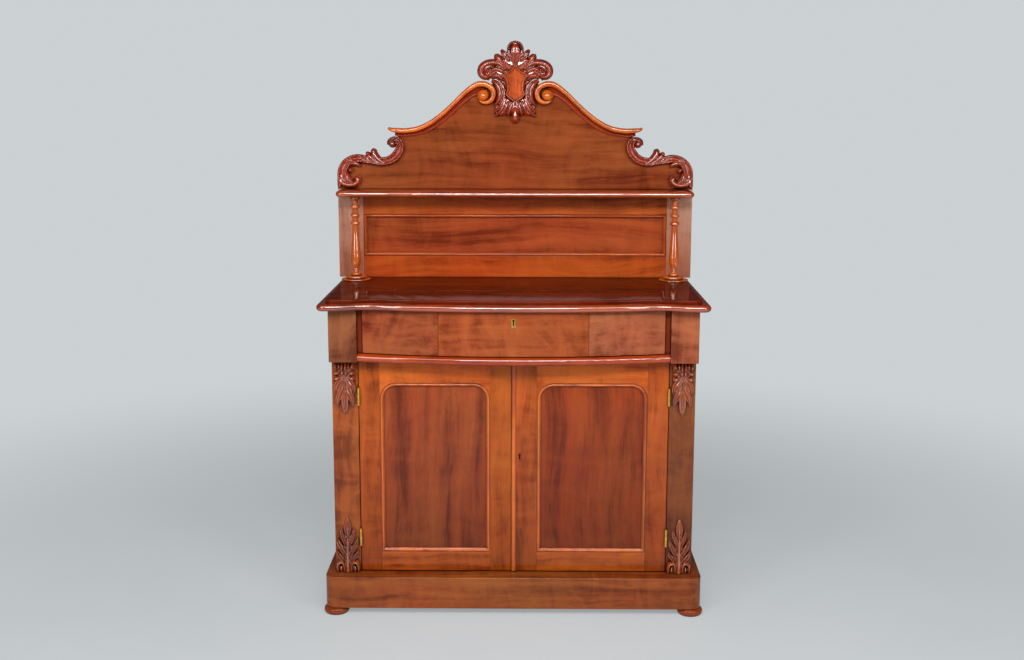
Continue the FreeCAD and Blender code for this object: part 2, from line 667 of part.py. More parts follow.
def drawer():
    height = (drawer_low, drawer_high)
    rise = cell("rail_bow")
    thick = cell("drawer_front_thickness")
    curve = (drawer_half * drawer_half + rise * rise) / (rise * 2)
    blank = bowed("front_blank", drawer_half, drawer_ends, rise, drawer_ends + thick, height)
    centre_y = drawer_nose + curve
    hollow = rod("front_hollow", curve - thick, (ZERO, centre_y, drawer_low), drawer_high - drawer_low)
    case_front = drawer_lining - cell("lock_wall")
    case_y = (case_front, case_front + cell("lock_thickness"))
    case_z = (drawer_high - cell("lock_edge") - cell("lock_reach"), drawer_high - cell("lock_edge"))
    wide = cell("lock_width") / 2
    case = box("drawer_lock_blank", (-wide, wide), case_y, case_z)
    room = box("drawer_lock_room", (-wide, wide), case_y, (case_z[0], drawer_high))
    keyhole_z = carcase_top - cell("drawer_keyhole_drop")
    hole_start = drawer_nose - 1
    hole = keyhole("drawer_keyhole", ZERO, keyhole_z, hole_start, drawer_lining - hole_start)
    plate_half = cell("escutcheon_width") / 2
    plate_z = (keyhole_z - cell("escutcheon_below"), keyhole_z)
    plate_y = (drawer_nose - cell("escutcheon_proud"), drawer_nose + cell("escutcheon_let_in"))
    straight = box("escutcheon_straight", (-plate_half, plate_half), plate_y, plate_z)
    head = rod("escutcheon_head", cell("escutcheon_radius"), (ZERO, plate_y[0], keyhole_z),
               plate_y[1] - plate_y[0], "y")
    plate = fuse("escutcheon_blank", straight, head)
    piece("keyhole_escutcheon", cut("keyhole_escutcheon", plate, hole))
    sides = []
    lap = drawer_ends + thick - cell("drawer_lap")
    low = drawer_floor + cell("drawer_rest")
    top = carcase_top - cell("drawer_headroom")
    bottom_low = low + cell("drawer_bottom_height")
    bottom = (bottom_low, bottom_low + cell("drawer_bottom_thickness"))
    back_y = (drawer_back - cell("drawer_side"), drawer_back)
    groove = cell("groove")
    panel_half = drawer_side_in + groove
    flat = box("drawer_bottom_blank", (-panel_half, panel_half), (drawer_nose, back_y[0]), bottom)
    ring = rod("drawer_bottom_curve", curve - thick + groove, (ZERO, centre_y, bottom_low),
               cell("drawer_bottom_thickness"))
    panel = piece("drawer_bottom", common("drawer_bottom", flat, ring))
    for side, hand in SIDES:
        lapped = box(f"drawer_side_{hand}_blank", span(side, drawer_side_in, drawer_side_out),
                     (lap, drawer_back), (low, top))
        sides.append(lapped)
        part_of("drawer_sides", cut(f"drawer_side_{hand}", lapped, panel))
    back = box("drawer_back", (-drawer_side_in, drawer_side_in), back_y, (low, top))
    piece("drawer_back", back)
    front = cut("drawer_front", blank, hollow, room, hole, plate, panel, *sides)
    piece("drawer_front", front)
    half_bolt = cell("bolt_width") / 2
    inside = lock_case("drawer_lock", case, case_y, (-half_bolt, half_bolt), case_z)
    keyway = keyhole("drawer_lock_keyway", ZERO, keyhole_z, case_front - 1, cell("lock_wall") + 1)
    piece("drawer_lock_case", cut("drawer_lock_case", inside, keyway))
    bolt_y = (drawer_bolt_y - bolt_thickness / 2, drawer_bolt_y + bolt_thickness / 2)
    bolt_z = (case_z[1] - cell("bolt_length"), case_z[1])
    piece("drawer_lock_bolt", box("drawer_lock_bolt", (-half_bolt, half_bolt), bolt_y, bolt_z))


def lock_case(name, blank, y, across, along):
    """A lock's case with the channel its bolt slides in, open at one end along Z."""
    gap = cell("bolt_gap")
    wall = cell("lock_wall")
    channel_y = (y[0] + wall, y[1] - wall)
    channel_z = (along[0] + wall, along[1] + 1)
    channel = box(f"{name}_channel", (across[0] - gap, across[1] + gap), channel_y, channel_z)
    return cut(f"{name}_hollow", blank, channel)


# --------------------------------------------------------------------------- doors
door_low = plinth_top + cell("door_gap")
door_high = rail_under - cell("door_gap")
door_outer = pilaster_inner - cell("door_gap")
panel_outer = door_outer - cell("hinge_stile_width")
panel_low = door_low + cell("bottom_rail_width")
panel_high = door_high - cell("top_rail_width")
left_edge = -cell("meeting_line") - cell("meeting_gap") / 2
right_edge = -cell("meeting_line") + cell("meeting_gap") / 2
left_slip_x = left_edge - cell("slip_place")
slip_y = frame_back + cell("slip_standoff")
hinge_x = pilaster_inner - cell("door_gap") / 2
hinge_y = door_face - cell("hinge_offset")
column_x = gallery_half - cell("column_inset")
column_y = gallery_face - cell("column_place")


def panel_outline(grow, y, depth):
    """The panel opening of the right door, grown all round: square below, rounded above."""
    low = panel_low - grow
    high = panel_high + grow
    inner = cell("opening_inner") - grow
    outer = panel_outer + grow
    corner = cell("panel_corner") + grow
    turn = corner * (1 - math.sqrt(0.5))
    spring = high - corner
    edges = [
        line(at(inner, y, low), at(outer, y, low)),
        line(at(outer, y, low), at(outer, y, spring)),
        arc(at(outer, y, spring), at(outer - turn, y, high - turn), at(outer - corner, y, high)),
        line(at(outer - corner, y, high), at(inner + corner, y, high)),
        arc(at(inner + corner, y, high), at(inner + turn, y, high - turn), at(inner, y, spring)),
        line(at(inner, y, spring), at(inner, y, low)),
    ]
    return prism(edges, Vector(0, float(depth), 0))


def bead_rounding():
    """Radius on the front arrises of the panel mouldings, less than half their width."""
    return min(cell("bead_projection") + 2, cell("bead_width") * 0.42)


def door_moulding():
    """The rounded bead in the panel opening, mitred at the square corners."""
    proud = cell("bead_projection")
    width = cell("bead_width")
    depth = proud + cell("panel_recess")
    face = door_face - proud
    ring = panel_outline(ZERO, face, depth).cut(panel_outline(-width, face, depth))
    front = [edge for edge in ring.Edges if all(abs(v.Y - float(face)) < 0.01 for v in edge.Vertexes)]
    return ring.makeFillet(float(bead_rounding()), front)


def door(side, hand):
    edge = right_edge if side == RIGHT else -left_edge
    inner = cell("opening_inner")
    thick = (door_face, frame_back)
    through = (door_face - 1, cell("frame_thickness") + 2)
    opening = solid(f"opening_{hand}", one_side(panel_outline(ZERO, *through), side))
    panel_y = door_face + cell("panel_recess")
    grown = one_side(panel_outline(cell("panel_groove"), panel_y, cell("panel_thickness")), side)
    panel = piece(f"door_panel_{hand}", solid(f"door_panel_{hand}", grown))
    label = f"door_panel_moulding_{hand}"
    piece(label, solid(label, one_side(door_moulding(), side)))
    leaves = hinge(side, hand)
    tools = {"meeting": [], "hinge": leaves}
    if side == RIGHT:
        place = (cell("keyhole_offset"), cell("keyhole_height"))
        tools["meeting"].append(keyhole("door_keyhole", *place, *through))
    spans = {"meeting": span(side, edge, inner), "hinge": span(side, panel_outer, door_outer)}
    for kind, x in spans.items():
        stile = box(f"{kind}_stile_{hand}_blank", x, thick, (door_low, door_high))
        part_of(f"door_stiles_{hand}", cut(f"{kind}_stile_{hand}", stile, panel, *tools[kind]))
    rails_x = span(side, inner, panel_outer)
    top = box(f"door_top_rail_{hand}_blank", rails_x, thick, (panel_high - cell("panel_corner"), door_high))
    part_of(f"door_rails_{hand}", cut(f"door_top_rail_{hand}", top, opening, panel))
    low = box(f"door_bottom_rail_{hand}_blank", rails_x, thick, (door_low, panel_low))
    part_of(f"door_rails_{hand}", cut(f"door_bottom_rail_{hand}", low, panel))


def cock_bead():
    """The half-round bead on the right door's meeting stile."""
    proud = cell("cock_bead_projection")
    width = cell("cock_bead_width")
    low = right_edge
    middle = low + width / 2
    face = door_face
    edges = [
        line(at(low, face, door_low), at(low + width, face, door_low)),
        arc(at(low + width, face, door_low), at(middle, face - proud, door_low), at(low, face, door_low)),
    ]
    piece("meeting_bead", solid("meeting_bead", prism(edges, Vector(0, 0, float(door_high - door_low)))))


def hinge(side, hand):
    """Two butt hinges: a leaf and its end knuckles on the pilaster, the other leaf and the middle one
    on the door, round a pin.  Returns what has to be cut from the door's stile."""
    x = hinge_x * side
    length = cell("hinge_length")
    leaf = cell("hinge_leaf")
    radius = cell("hinge_radius")
    clear = radius + cell("hinge_clearance")
    reach = (hinge_y, door_face + cell("hinge_leaf_width"))
    half_gap = cell("door_gap") / 2
    fixed_x = span(side, hinge_x + half_gap, hinge_x + half_gap + leaf)
    moving_x = span(side, hinge_x - half_gap - leaf, hinge_x - half_gap)
    starts = (door_low + cell("hinge_lower"), door_high - cell("hinge_upper") - length)
    moving_rooms = []
    fixed_rooms = []
    third = length / 3
    slack = cell("hinge_clearance")
    for number, low in enumerate(starts):
        tag = f"{hand}_{number}"
        pin_radius = cell("hinge_pin_radius")
        bore = rod(f"hinge_bore_{tag}", pin_radius + cell("hinge_pin_gap"), (x, hinge_y, low), length)
        pin = rod(f"hinge_pin_{tag}", pin_radius, (x, hinge_y, low), length)
        part_of("hinge_pins", pin)
        middle = (low + third + slack, third - slack * 2)
        knuckle = rod(f"knuckle_{tag}", radius, (x, hinge_y, middle[0]), middle[1])
        plate = box(f"moving_leaf_{tag}", moving_x, reach, (low, low + length))
        moving_rooms.append(box(f"moving_room_{tag}", moving_x, (door_face, reach[1]), (low, low + length)))
        ends = [(low, third), (low + third * 2, third)]
        clears = [rod(f"clear_{tag}_{index}", clear, (x, hinge_y, start), size)
                  for index, (start, size) in enumerate(ends)]
        middle_clear = rod(f"clear_{tag}_middle", clear, (x, hinge_y, low + third), third)
        plate = cut(f"moving_cut_{tag}", plate, *clears)
        whole = fuse(f"moving_whole_{tag}", plate, knuckle)
        part_of(f"hinge_leaves_door_{hand}", cut(f"moving_{tag}", whole, bore))
        plate = box(f"fixed_leaf_{tag}", fixed_x, reach, (low, low + length))
        fixed_rooms.append(box(f"fixed_room_{tag}", fixed_x, (door_face, reach[1]), (low, low + length)))
        plate = cut(f"fixed_cut_{tag}", plate, middle_clear)
        knuckles = [rod(f"end_knuckle_{tag}_{index}", radius, (x, hinge_y, start), size)
                    for index, (start, size) in enumerate(ends)]
        whole = fuse(f"fixed_whole_{tag}", plate, *knuckles)
        part_of("hinge_leaves_pilasters", cut(f"fixed_{tag}", whole, pin))
    blank = box(f"pilaster_{hand}_blank", span(side, pilaster_inner, carcase_half), (door_face, frame_back),
                (plinth_top, rail_under))
    part_of("pilasters", cut(f"pilaster_{hand}", blank, *fixed_rooms))
    return moving_rooms


def door_lock():
    """The lock on the back of the right door, its bolt, and the keep on the left door."""
    y = (frame_back, frame_back + cell("lock_thickness"))
    low = cell("keyhole_height") - cell("lock_width") / 2
    z = (low, low + cell("lock_width"))
    start = right_edge + cell("lock_edge")
    wall = cell("lock_wall")
    gap = cell("bolt_gap")
    case = box("door_lock_blank", (start, start + cell("lock_reach")), y, z)
    middle = low + cell("lock_width") / 2
    half = cell("bolt_width") / 2
    bolt_y = (y[0] + wall + gap, y[1] - wall - gap)
    channel = box("door_lock_channel", (start - 1, start + cell("lock_reach") - wall),
                  (y[0] + wall, y[1] - wall), (middle - half - gap, middle + half + gap))
    hole = keyhole("door_lock_keyway", cell("keyhole_offset"), cell("keyhole_height"), y[0] - 1, wall + 1)
    piece("door_lock_case", cut("door_lock_case", case, channel, hole))
    bolt_x = (start, start + cell("bolt_length"))
    piece("door_lock_bolt", box("door_lock_bolt", bolt_x, bolt_y, (middle - half, middle + half)))
    keep_x = (left_edge - cell("lock_edge") - cell("bolt_throw") - wall, left_edge - cell("lock_edge"))
    margin = wall * 2
    keep = box("door_lock_keep_blank", keep_x, y, (middle - half - margin, middle + half + margin))
    room = box("keep_room", (keep_x[0] + wall, keep_x[1] + 1), (y[0] + wall, y[1] - wall),
               (middle - half - gap, middle + half + gap))
    piece("door_lock_keep", cut("door_lock_keep", keep, room))


def slip_bolts():
    """Bolts at the top and bottom of the left door, each sliding in a housing on its back."""
    radius = cell("slip_radius")
    width = cell("slip_plate_width") / 2
    depth = cell("slip_standoff") + radius + cell("lock_wall")
    y = (frame_back, frame_back + depth)
    x = (left_slip_x - width, left_slip_x + width)
    reach = cell("slip_plate_margin")
    length = cell("slip_plate_length")
    ends = (
        ("top", rail_under - cell("slip_start") - cell("slip_length"),
         rail_under - cell("slip_start") - reach - length),
        ("bottom", floor_top + cell("slip_start"), floor_top + cell("slip_start") + reach),
    )
    for name, low, plate_low in ends:
        start = (left_slip_x, slip_y, low)
        rod_made = rod(f"left_door_{name}_bolt", radius, start, cell("slip_length"))
        piece(f"left_door_{name}_bolt", rod_made)
        bore = rod(f"slip_bore_{name}", radius + cell("slip_gap"), start, cell("slip_length"))
        housing = box(f"slip_housing_{name}", x, y, (plate_low, plate_low + length))
        part_of("left_door_bolt_housings", cut(f"left_door_{name}_bolt_housing", housing, bore))


# --------------------------------------------------------------------------- carved leaves
# Height over the leaf's root and half-width there, as shares of its length and of half its width.
LEAF_RIM = ((0.0, 0.62), (0.10, 1.0), (0.24, 0.74), (0.36, 0.98), (0.50, 0.6), (0.63, 0.8), (0.76, 0.4),
            (0.88, 0.36))


def leaf(length, root_depth):
    """A leaf drawn with its root at the origin and its tip up: three lobes a side, wedge-shaped."""
    half = cell("leaf_width") / 2
    tip_depth = cell("leaf_tip_depth")
    rim = [at(share * half, 0, up * length) for up, share in LEAF_RIM]
    rim.append(at(0, 0, length))
    rim += [at(-share * half, 0, up * length) for up, share in reversed(LEAF_RIM)]
    rim.append(rim[0])
    blank = Part.Face(Part.makePolygon(rim)).extrude(Vector(0, -float(root_depth), 0))
    wedge = Part.makePolygon([
        at(0, 0, 0), at(0, -root_depth, 0), at(0, -root_depth * 0.72, length * 0.4),
        at(0, -tip_depth, length), at(0, 0, length), at(0, 0, 0)])
    slab = Part.Face(wedge).extrude(Vector(float(half) * 2, 0, 0))
    slab.translate(Vector(-float(half), 0, 0))
    return blank.common(slab)


def leaves():
    middle = (pilaster_inner + carcase_half) / 2
    for side, hand in SIDES:
        upper = leaf(cell("upper_leaf_length"), cell("upper_leaf_depth"))
        made = part_of("upper_leaves", solid(f"upper_leaf_{hand}", upper.mirror(Vector(), Vector(0, 0, 1))))
        made.Placement = Placement(at(middle * side, door_face, rail_under), Rotation())
        lower = leaf(cell("lower_leaf_length"), cell("lower_leaf_depth"))
        made = part_of("lower_leaves", solid(f"lower_leaf_{hand}", lower))
        made.Placement = Placement(at(middle * side, door_face, plinth_top), Rotation())


# --------------------------------------------------------------------------- gallery
SHAFT = ((0.0, 7.4), (0.045, 10.4), (0.11, 13.7), (0.195, 15.0), (0.31, 14.4), (0.51, 12.7), (0.73, 10.4),
         (0.92, 9.0), (1.0, 9.0))


def column_profile(height):
    """The turned outline as edges in the XZ plane, from the foot up: a thin plate, a thick disc, beads
    and a long swelling shaft.  Foot and head keep their sizes, and the shaft takes up the height."""
    base = cell("column_base")
    tenon = cell("column_tenon_radius")
    deep = cell("column_tenon_length")
    foot, head = 34.6, height - 91
    edges = []
    here = [at(0, 0, -deep)]

    def straight(radius, z):
        edges.append(line(here[0], at(radius, 0, z)))
        here[0] = at(radius, 0, z)

    def curved(by_radius, by_z, radius, z):
        edges.append(arc(here[0], at(by_radius, 0, by_z), at(radius, 0, z)))
        here[0] = at(radius, 0, z)

    straight(tenon, -deep)
    straight(tenon, 0)
    straight(base - 1.5, 0)
    curved(base, 1.8, base - 1.5, 3.6)
    straight(26.5, 4.2)
    curved(29.5, 8.6, 26.5, 12.8)
    straight(14, 13.8)
    curved(16.6, 17.6, 13.4, 21.4)
    curved(8, 23.8, 6.8, 28.4)
    curved(8.6, 31.6, 7.4, foot)
    shaft = [at(radius, 0, foot + (head - foot) * share) for share, radius in SHAFT]
    edges.append(smooth(shaft))
    here[0] = shaft[-1]
    straight(9, height - 87)
    for low, high, bead, neck in ((87, 75, 14.5, 8.6), (63, 52, 13.6, 8), (37, 28, 14.8, 8.4)):
        curved(bead, height - (low + high) / 2, neck, height - high)
        if high > 28:
            straight(neck, height - (63 if high == 75 else 37))
    curved(8.4, height - 20, 10.5, height - 12)
    straight(12.6, height - 11)
    curved(15.2, height - 6, 13, height - 1)
    straight(13, height)
    straight(tenon, height)
    straight(tenon, height + deep / 2)
    straight(0, height + deep / 2)
    straight(0, -deep)
    return edges


def gallery_frame():
    thick = (gallery_face, middle_back)
    low_rail_top = worktop_top + cell("gallery_low_rail")
    top_rail_low = low_rail_top + cell("gallery_opening")
    frame_top = shelf_top
    inner = gallery_half - cell("gallery_stile")
    groove = cell("panel_groove")
    panel_front = gallery_face + cell("panel_recess")
    panel_y = (panel_front, panel_front + cell("panel_thickness"))
    panel = piece("gallery_panel", box("gallery_panel", (-inner - groove, inner + groove), panel_y,
                                       (low_rail_top - groove, top_rail_low + groove)))
    for side, hand in SIDES:
        stile = box(f"gallery_stile_{hand}_blank", span(side, inner, gallery_half), thick,
                    (worktop_top, frame_top))
        dowel = doc.getObject(f"dowel_{hand}")
        part_of("gallery_stiles", cut(f"gallery_stile_{hand}", stile, panel, dowel))
    for name, z in (("bottom", (worktop_top, low_rail_top)), ("top", (top_rail_low, frame_top))):
        rail = box(f"gallery_{name}_rail_blank", (-inner, inner), thick, z)
        part_of("gallery_rails", cut(f"gallery_{name}_rail", rail, panel))
    proud = cell("bead_projection")
    width = cell("bead_width")
    face = gallery_face - proud
    depth = (face, panel_front)
    outside = box("gallery_bead_outside", (-inner, inner), depth, (low_rail_top, top_rail_low))
    inside = box("gallery_bead_inside", (width - inner, inner - width), depth,
                 (low_rail_top + width, top_rail_low - width))
    ring = cut("gallery_bead_ring", outside, inside)

    def is_front(edge):
        return all(abs(vertex.Y - float(face)) < 0.01 for vertex in edge.Vertexes)

    piece("gallery_panel_moulding", rounded("gallery_panel_moulding", ring, bead_rounding(), is_front))


shelf_low = worktop_top + cell("column_height")
shelf_top = shelf_low + cell("gallery_shelf_thickness")


def gallery_shelf():
    half = cell("gallery_shelf_width") / 2
    front = gallery_face - cell("gallery_shelf_depth")
    plan = (cell("gallery_shelf_bow"), cell("gallery_shelf_ear"), cell("gallery_shelf_drop"),
            cell("gallery_shelf_corner"))
    slab = serpentine(half, front, *plan, gallery_face, shelf_low, cell("gallery_shelf_thickness"))
    slab = round_edge(slab, cell("gallery_shelf_rounding"), gallery_face, (shelf_low, shelf_top))
    slab = solid("gallery_shelf_slab", slab)
    tenons = []
    outline = Part.Wire(column_profile(cell("column_height")))
    turned = Part.Face(outline).revolve(Vector(), Vector(0, 0, 1), 360)
    for side, hand in SIDES:
        made = part_of("columns", solid(f"column_{hand}", turned))
        made.Placement = Placement(at(column_x * side, column_y, worktop_top), Rotation())
        start = (column_x * side, column_y, shelf_low)
        mortise = rod(f"shelf_mortise_{hand}", cell("column_tenon_radius"), start,
                      cell("column_tenon_length") / 2)
        tenons.append(mortise)
    piece("gallery_shelf", cut("gallery_shelf", slab, *tenons))


# The arch's rise, as shares of the way from its outer tip (0, 0) to its top (1, 1).
ARCH = ((0.0, 0.02), (0.2, -0.02), (0.34, 0.03), (0.47, 0.17), (0.6, 0.37), (0.71, 0.57), (0.82, 0.79),
        (0.92, 0.95), (1.0, 1.0))
LEAN = 1.76         # how far a lowered edge moves inward on the slope, so that the strip keeps its width


def arch_edge(drop):
    """Right-hand edge of the arch, from its outer tip to the scroll, lowered by the drop."""
    tip_x = gallery_half - cell("arch_tip_inset")
    tip_z = shelf_top + cell("arch_tip_rise")
    wide = tip_x - volute_x
    tall = arch_top - tip_z
    points = []
    for along, up in ARCH:
        inward = drop * LEAN * along * (1.05 - along) * (1 - along)
        points.append(at(tip_x - along * wide - inward, gallery_face, tip_z + up * tall - drop))
    return points


arch_top = shelf_top + cell("board_rise")
volute_x = cell("volute_place")
volute_z = arch_top - cell("volute_radius")


def arch_band(top_drop, low_drop, depth):
    """A strip that follows the arch between two drops under its upper edge."""
    upper = arch_edge(top_drop)
    lower = arch_edge(low_drop)
    edges = [smooth(upper), smooth(lower), line(upper[0], lower[0]), line(upper[-1], lower[-1])]
    return prism(edges, Vector(0, -float(depth), 0))


def arch_moulding():
    radius = cell("volute_radius")
    bead = arch_band(ZERO, cell("arch_width"), cell("arch_depth"))
    fillet = arch_band(cell("arch_width"), cell("arch_width") + cell("fillet_width"), cell("fillet_depth"))
    centre = at(volute_x, gallery_face, volute_z)
    forward = Vector(0, -1, 0)
    depth = float(cell("arch_depth"))
    disc = Part.makeCylinder(float(radius), depth, centre, forward)
    ring = float(radius - cell("volute_rim"))
    hollow = Part.makeTorus(ring, float(cell("volute_groove")), centre + forward * depth, forward)
    return bead.fuse([fillet, disc]).cut(hollow).removeSplitter()


SCROLL_GRID = 152
CREST_GRID = 248


def scroll_point(inward, up):
    """A point of the scroll's drawing: inward from the gallery's side and up from the shelf, in
    squares of which the scroll's rise has SCROLL_GRID."""
    square = cell("scroll_rise") / SCROLL_GRID
    return at(gallery_half - square * inward, gallery_face, shelf_top + square * up)


def crest_point(across, down, y):
    """A point of the crest's drawing: across from the middle and down from the knob's top, in squares
    of which the crest's height has CREST_GRID."""
    square = cell("crest_height") / CREST_GRID
    return at(square * across, y, shelf_top + cell("crest_rise") - square * down)


def board_half():
    """The right half of the shaped board above the shelf, up to the arch."""
    y = gallery_face
    low = shelf_top
    point = scroll_point

    shoulder = smooth([
        point(0, 40), point(6, 66), point(22, 88), point(48, 98), point(74, 96), point(96, 84),
        point(124, 76), point(152, 78), point(178, 92), point(192, 116), point(188, 138), point(174, 152)])
    under_tip = arch_edge(cell("arch_width") / 2)
    middle = at(0, y, volute_z)
    centre_top = at(0, y, arch_top - cell("arch_width") / 2)
    edges = [
        line(at(0, y, low), point(0, 0)),
        line(point(0, 0), point(0, 40)),
        shoulder,
        line(point(174, 152), under_tip[1]),
        smooth(under_tip[1:]),
        line(under_tip[-1], centre_top),
        line(centre_top, middle),
        line(middle, at(0, y, low)),
    ]
    return prism(edges, Vector(0, float(cell("gallery_thickness")), 0))


def side_scroll():
    """The carved scroll at the right-hand end: an S over the corner, running into a C under the arch."""
    point = scroll_point
    outer = [
        point(3, 8), point(0, 32), point(8, 68), point(26, 92), point(56, 103), point(84, 98),
        point(92, 110), point(104, 122), point(112, 122), point(118, 104), point(130, 95), point(156, 99),
        point(172, 116), point(168, 128)]
    inner = [
        point(176, 152), point(196, 138), point(201, 108), point(186, 86), point(158, 72), point(130, 70),
        point(100, 80), point(70, 84), point(56, 76), point(64, 66), point(72, 44), point(68, 20),
        point(46, 5), point(22, 6)]
    edges = [smooth(outer), smooth(inner), line(outer[-1], inner[0]), line(inner[-1], outer[0])]
    depth = float(cell("scroll_depth"))
    band = prism(edges, Vector(0, -depth, 0))
    ball = Part.makeCylinder(float(cell("scroll_ball")), depth, point(168, 137), Vector(0, -1, 0))
    return band.fuse(ball).removeSplitter()


# Right halves of two outlines, in squares of the crest's drawing (across, down).
CREST_RIM = (
    (0, 0), (16, 5), (23, 20), (20, 33), (38, 34), (42, 47), (62, 48), (64, 62),      # knob and leaves
    (84, 58), (104, 66), (116, 92), (108, 110), (86, 118), (78, 108),                 # scroll
    (66, 128), (54, 150), (52, 172), (64, 186), (62, 222),                            # long leaf
    (44, 208), (26, 220), (12, 212), (11, 236), (0, 248),                             # tips and drop
)
SHIELD_RIM = ((0, 76), (33, 102), (21, 130), (26, 160), (0, 186))


def drawn(rim, y, depth):
    """A block with an outline of the crest's drawing on the right and its mirror image on the left."""
    points = [crest_point(across, down, y) for across, down in rim]
    points += [crest_point(-across, down, y) for across, down in reversed(rim[1:-1])]
    points.append(points[0])
    return Part.Face(Part.makePolygon(points)).extrude(Vector(0, -float(depth), 0))


def gallery_top():
    half = board_half()
    piece("gallery_board", solid("gallery_board", half.fuse(mirrored(half)).removeSplitter()))
    for side, hand in SIDES:
        part_of("arch_mouldings", solid(f"arch_moulding_{hand}", one_side(arch_moulding(), side)))
        part_of("side_scrolls", solid(f"side_scroll_{hand}", one_side(side_scroll(), side)))
    crest = drawn(CREST_RIM, gallery_face, cell("crest_depth"))
    radius = float(cell("volute_radius") + cell("carving_gap"))
    depth = cell("crest_depth")
    clear = arch_band(-cell("carving_gap"), cell("arch_width"), depth)
    for side in (LEFT, RIGHT):
        centre = at(volute_x * side, gallery_face, volute_z)
        crest = crest.cut(Part.makeCylinder(radius, float(depth), centre, Vector(0, -1, 0)))
        crest = crest.cut(one_side(clear, side))
    crest = max(crest.Solids, key=lambda lump: lump.Volume)
    shield = drawn(SHIELD_RIM, gallery_face - cell("crest_depth"), cell("shield_depth"))
    crest = crest.fuse(shield).removeSplitter()
    piece("crest", solid("crest", crest))


# --------------------------------------------------------------------------- build and write
def write():
    for label, parts in sets.items():
        piece(label, group(label, *parts))
    doc.recompute()
    for made in doc.Objects:
        if {"Invalid", "Error"} & set(made.State):
            raise RuntimeError(f"{made.Name}: {made.State}")
    for label, made in pieces.items():
        if made.Shape.isNull() or not made.Shape.isValid() or not made.Shape.Solids:
            raise RuntimeError(f"{label}: no valid solid")
    os.makedirs("parts", exist_ok=True)
    for label, made in pieces.items():
        made.Shape.exportStep(f"parts/{label}.step")
    print(len(pieces), "sub-parts")


plinth()
carcase()
worktop()
drawer()
for side, hand in SIDES:
    door(side, hand)
cock_bead()
door_lock()
slip_bolts()
leaves()
gallery_frame()
gallery_shelf()
gallery_top()
write()
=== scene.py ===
# %% [markdown]
# # A carved mahogany chiffonier
# A chiffonier is a small sideboard: a cupboard with a drawer over it, and a shaped gallery behind the
# worktop.  Its construction comes in as a fixed frame of solids, one to a real piece of wood or brass.
# This lesson dresses that frame: it softens the joiner's arrises, carves the leaves, scrolls and crest,
# runs the mouldings, polishes the wood, and sets up the studio.

# %% Load the frame
import json
import math

import bmesh
import bpy
from mathutils import Matrix, Vector


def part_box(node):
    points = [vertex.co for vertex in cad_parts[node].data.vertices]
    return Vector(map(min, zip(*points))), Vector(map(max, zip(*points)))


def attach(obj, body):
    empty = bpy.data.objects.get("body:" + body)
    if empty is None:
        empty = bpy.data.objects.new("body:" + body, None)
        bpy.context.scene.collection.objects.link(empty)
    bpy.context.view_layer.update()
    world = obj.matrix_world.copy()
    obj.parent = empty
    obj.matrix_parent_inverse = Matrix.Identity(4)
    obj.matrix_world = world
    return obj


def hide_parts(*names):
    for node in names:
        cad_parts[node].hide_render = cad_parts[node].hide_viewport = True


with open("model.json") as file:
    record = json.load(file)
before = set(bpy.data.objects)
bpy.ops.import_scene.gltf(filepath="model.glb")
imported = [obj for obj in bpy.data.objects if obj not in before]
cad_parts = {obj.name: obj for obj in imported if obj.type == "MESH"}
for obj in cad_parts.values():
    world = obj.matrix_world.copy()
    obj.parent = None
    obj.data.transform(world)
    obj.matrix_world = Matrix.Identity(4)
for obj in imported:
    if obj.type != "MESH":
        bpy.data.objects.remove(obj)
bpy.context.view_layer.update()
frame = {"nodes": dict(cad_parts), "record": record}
MM = 0.001
scene = bpy.context.scene
scene.view_settings.view_transform = "Standard"
body_of = {node: body for body, nodes in frame["record"]["behaviour"]["bodies"].items() for node in nodes}
slot_of = {part["node"]: part["material_slot"] for part in frame["record"]["subparts"]}

# %% [markdown]
# ## Camera
# The chiffonier is seen from the front at about head height, looking slightly down on its worktop.
# A camera turn is easiest to read as three turns in a row: the yaw about the vertical, the pitch, and
# the small roll of a tripod that isn't quite level.

# %% Camera
CAMERA_PLACE = (0.0285, -3.744, 1.451)
CAMERA_YAW, CAMERA_PITCH, CAMERA_ROLL = 0.53, 10.0, 0.10      # degrees
CAMERA_LENS = 46.25

camera_data = bpy.data.cameras.new("camera")
camera_data.lens = CAMERA_LENS
camera = bpy.data.objects.new("camera", camera_data)
camera.matrix_world = (
    Matrix.Translation(CAMERA_PLACE)
    @ Matrix.Rotation(math.radians(CAMERA_YAW), 4, "Z")
    @ Matrix.Rotation(math.radians(90 - CAMERA_PITCH), 4, "X")
    @ Matrix.Rotation(math.radians(CAMERA_ROLL), 4, "Z")
)
scene.collection.objects.link(camera)
scene.camera = camera
print("camera at", CAMERA_PLACE)

# %% [markdown]
# ## Nodes, colours and ramps
# Every finish below is a small tree of nodes, and helpers keep the trees short: they add a node with its
# sockets filled or wired, a colour ramp, a mix of two colours, a stretched noise, grime with painted shade or
# a bump.
# Colours are written as 0-255 screen values, because that is how they are picked, and turned to
# linear light here.

# %% Node helpers
AO_SAMPLES, GRIME_AND_SHADE_WEIGHT = 6, 0.9


def colour(red, green, blue):
    """Linear RGBA of a screen colour."""
    linear = [((part / 255 + 0.055) / 1.055) ** 2.4 for part in (red, green, blue)]
    return (*linear, 1.0)


def grey(value):
    return (value, value, value, 1.0)


def add(tree, kind, values=None, **settings):
    """A shader node with its sockets set to values or wired to other sockets."""
    made = tree.nodes.new(f"ShaderNode{kind}")
    for name, value in settings.items():
        setattr(made, name, value)
    for socket, value in (values or {}).items():
        if isinstance(value, bpy.types.NodeSocket):
            tree.links.new(value, made.inputs[socket])
        else:
            made.inputs[socket].default_value = value
    return made


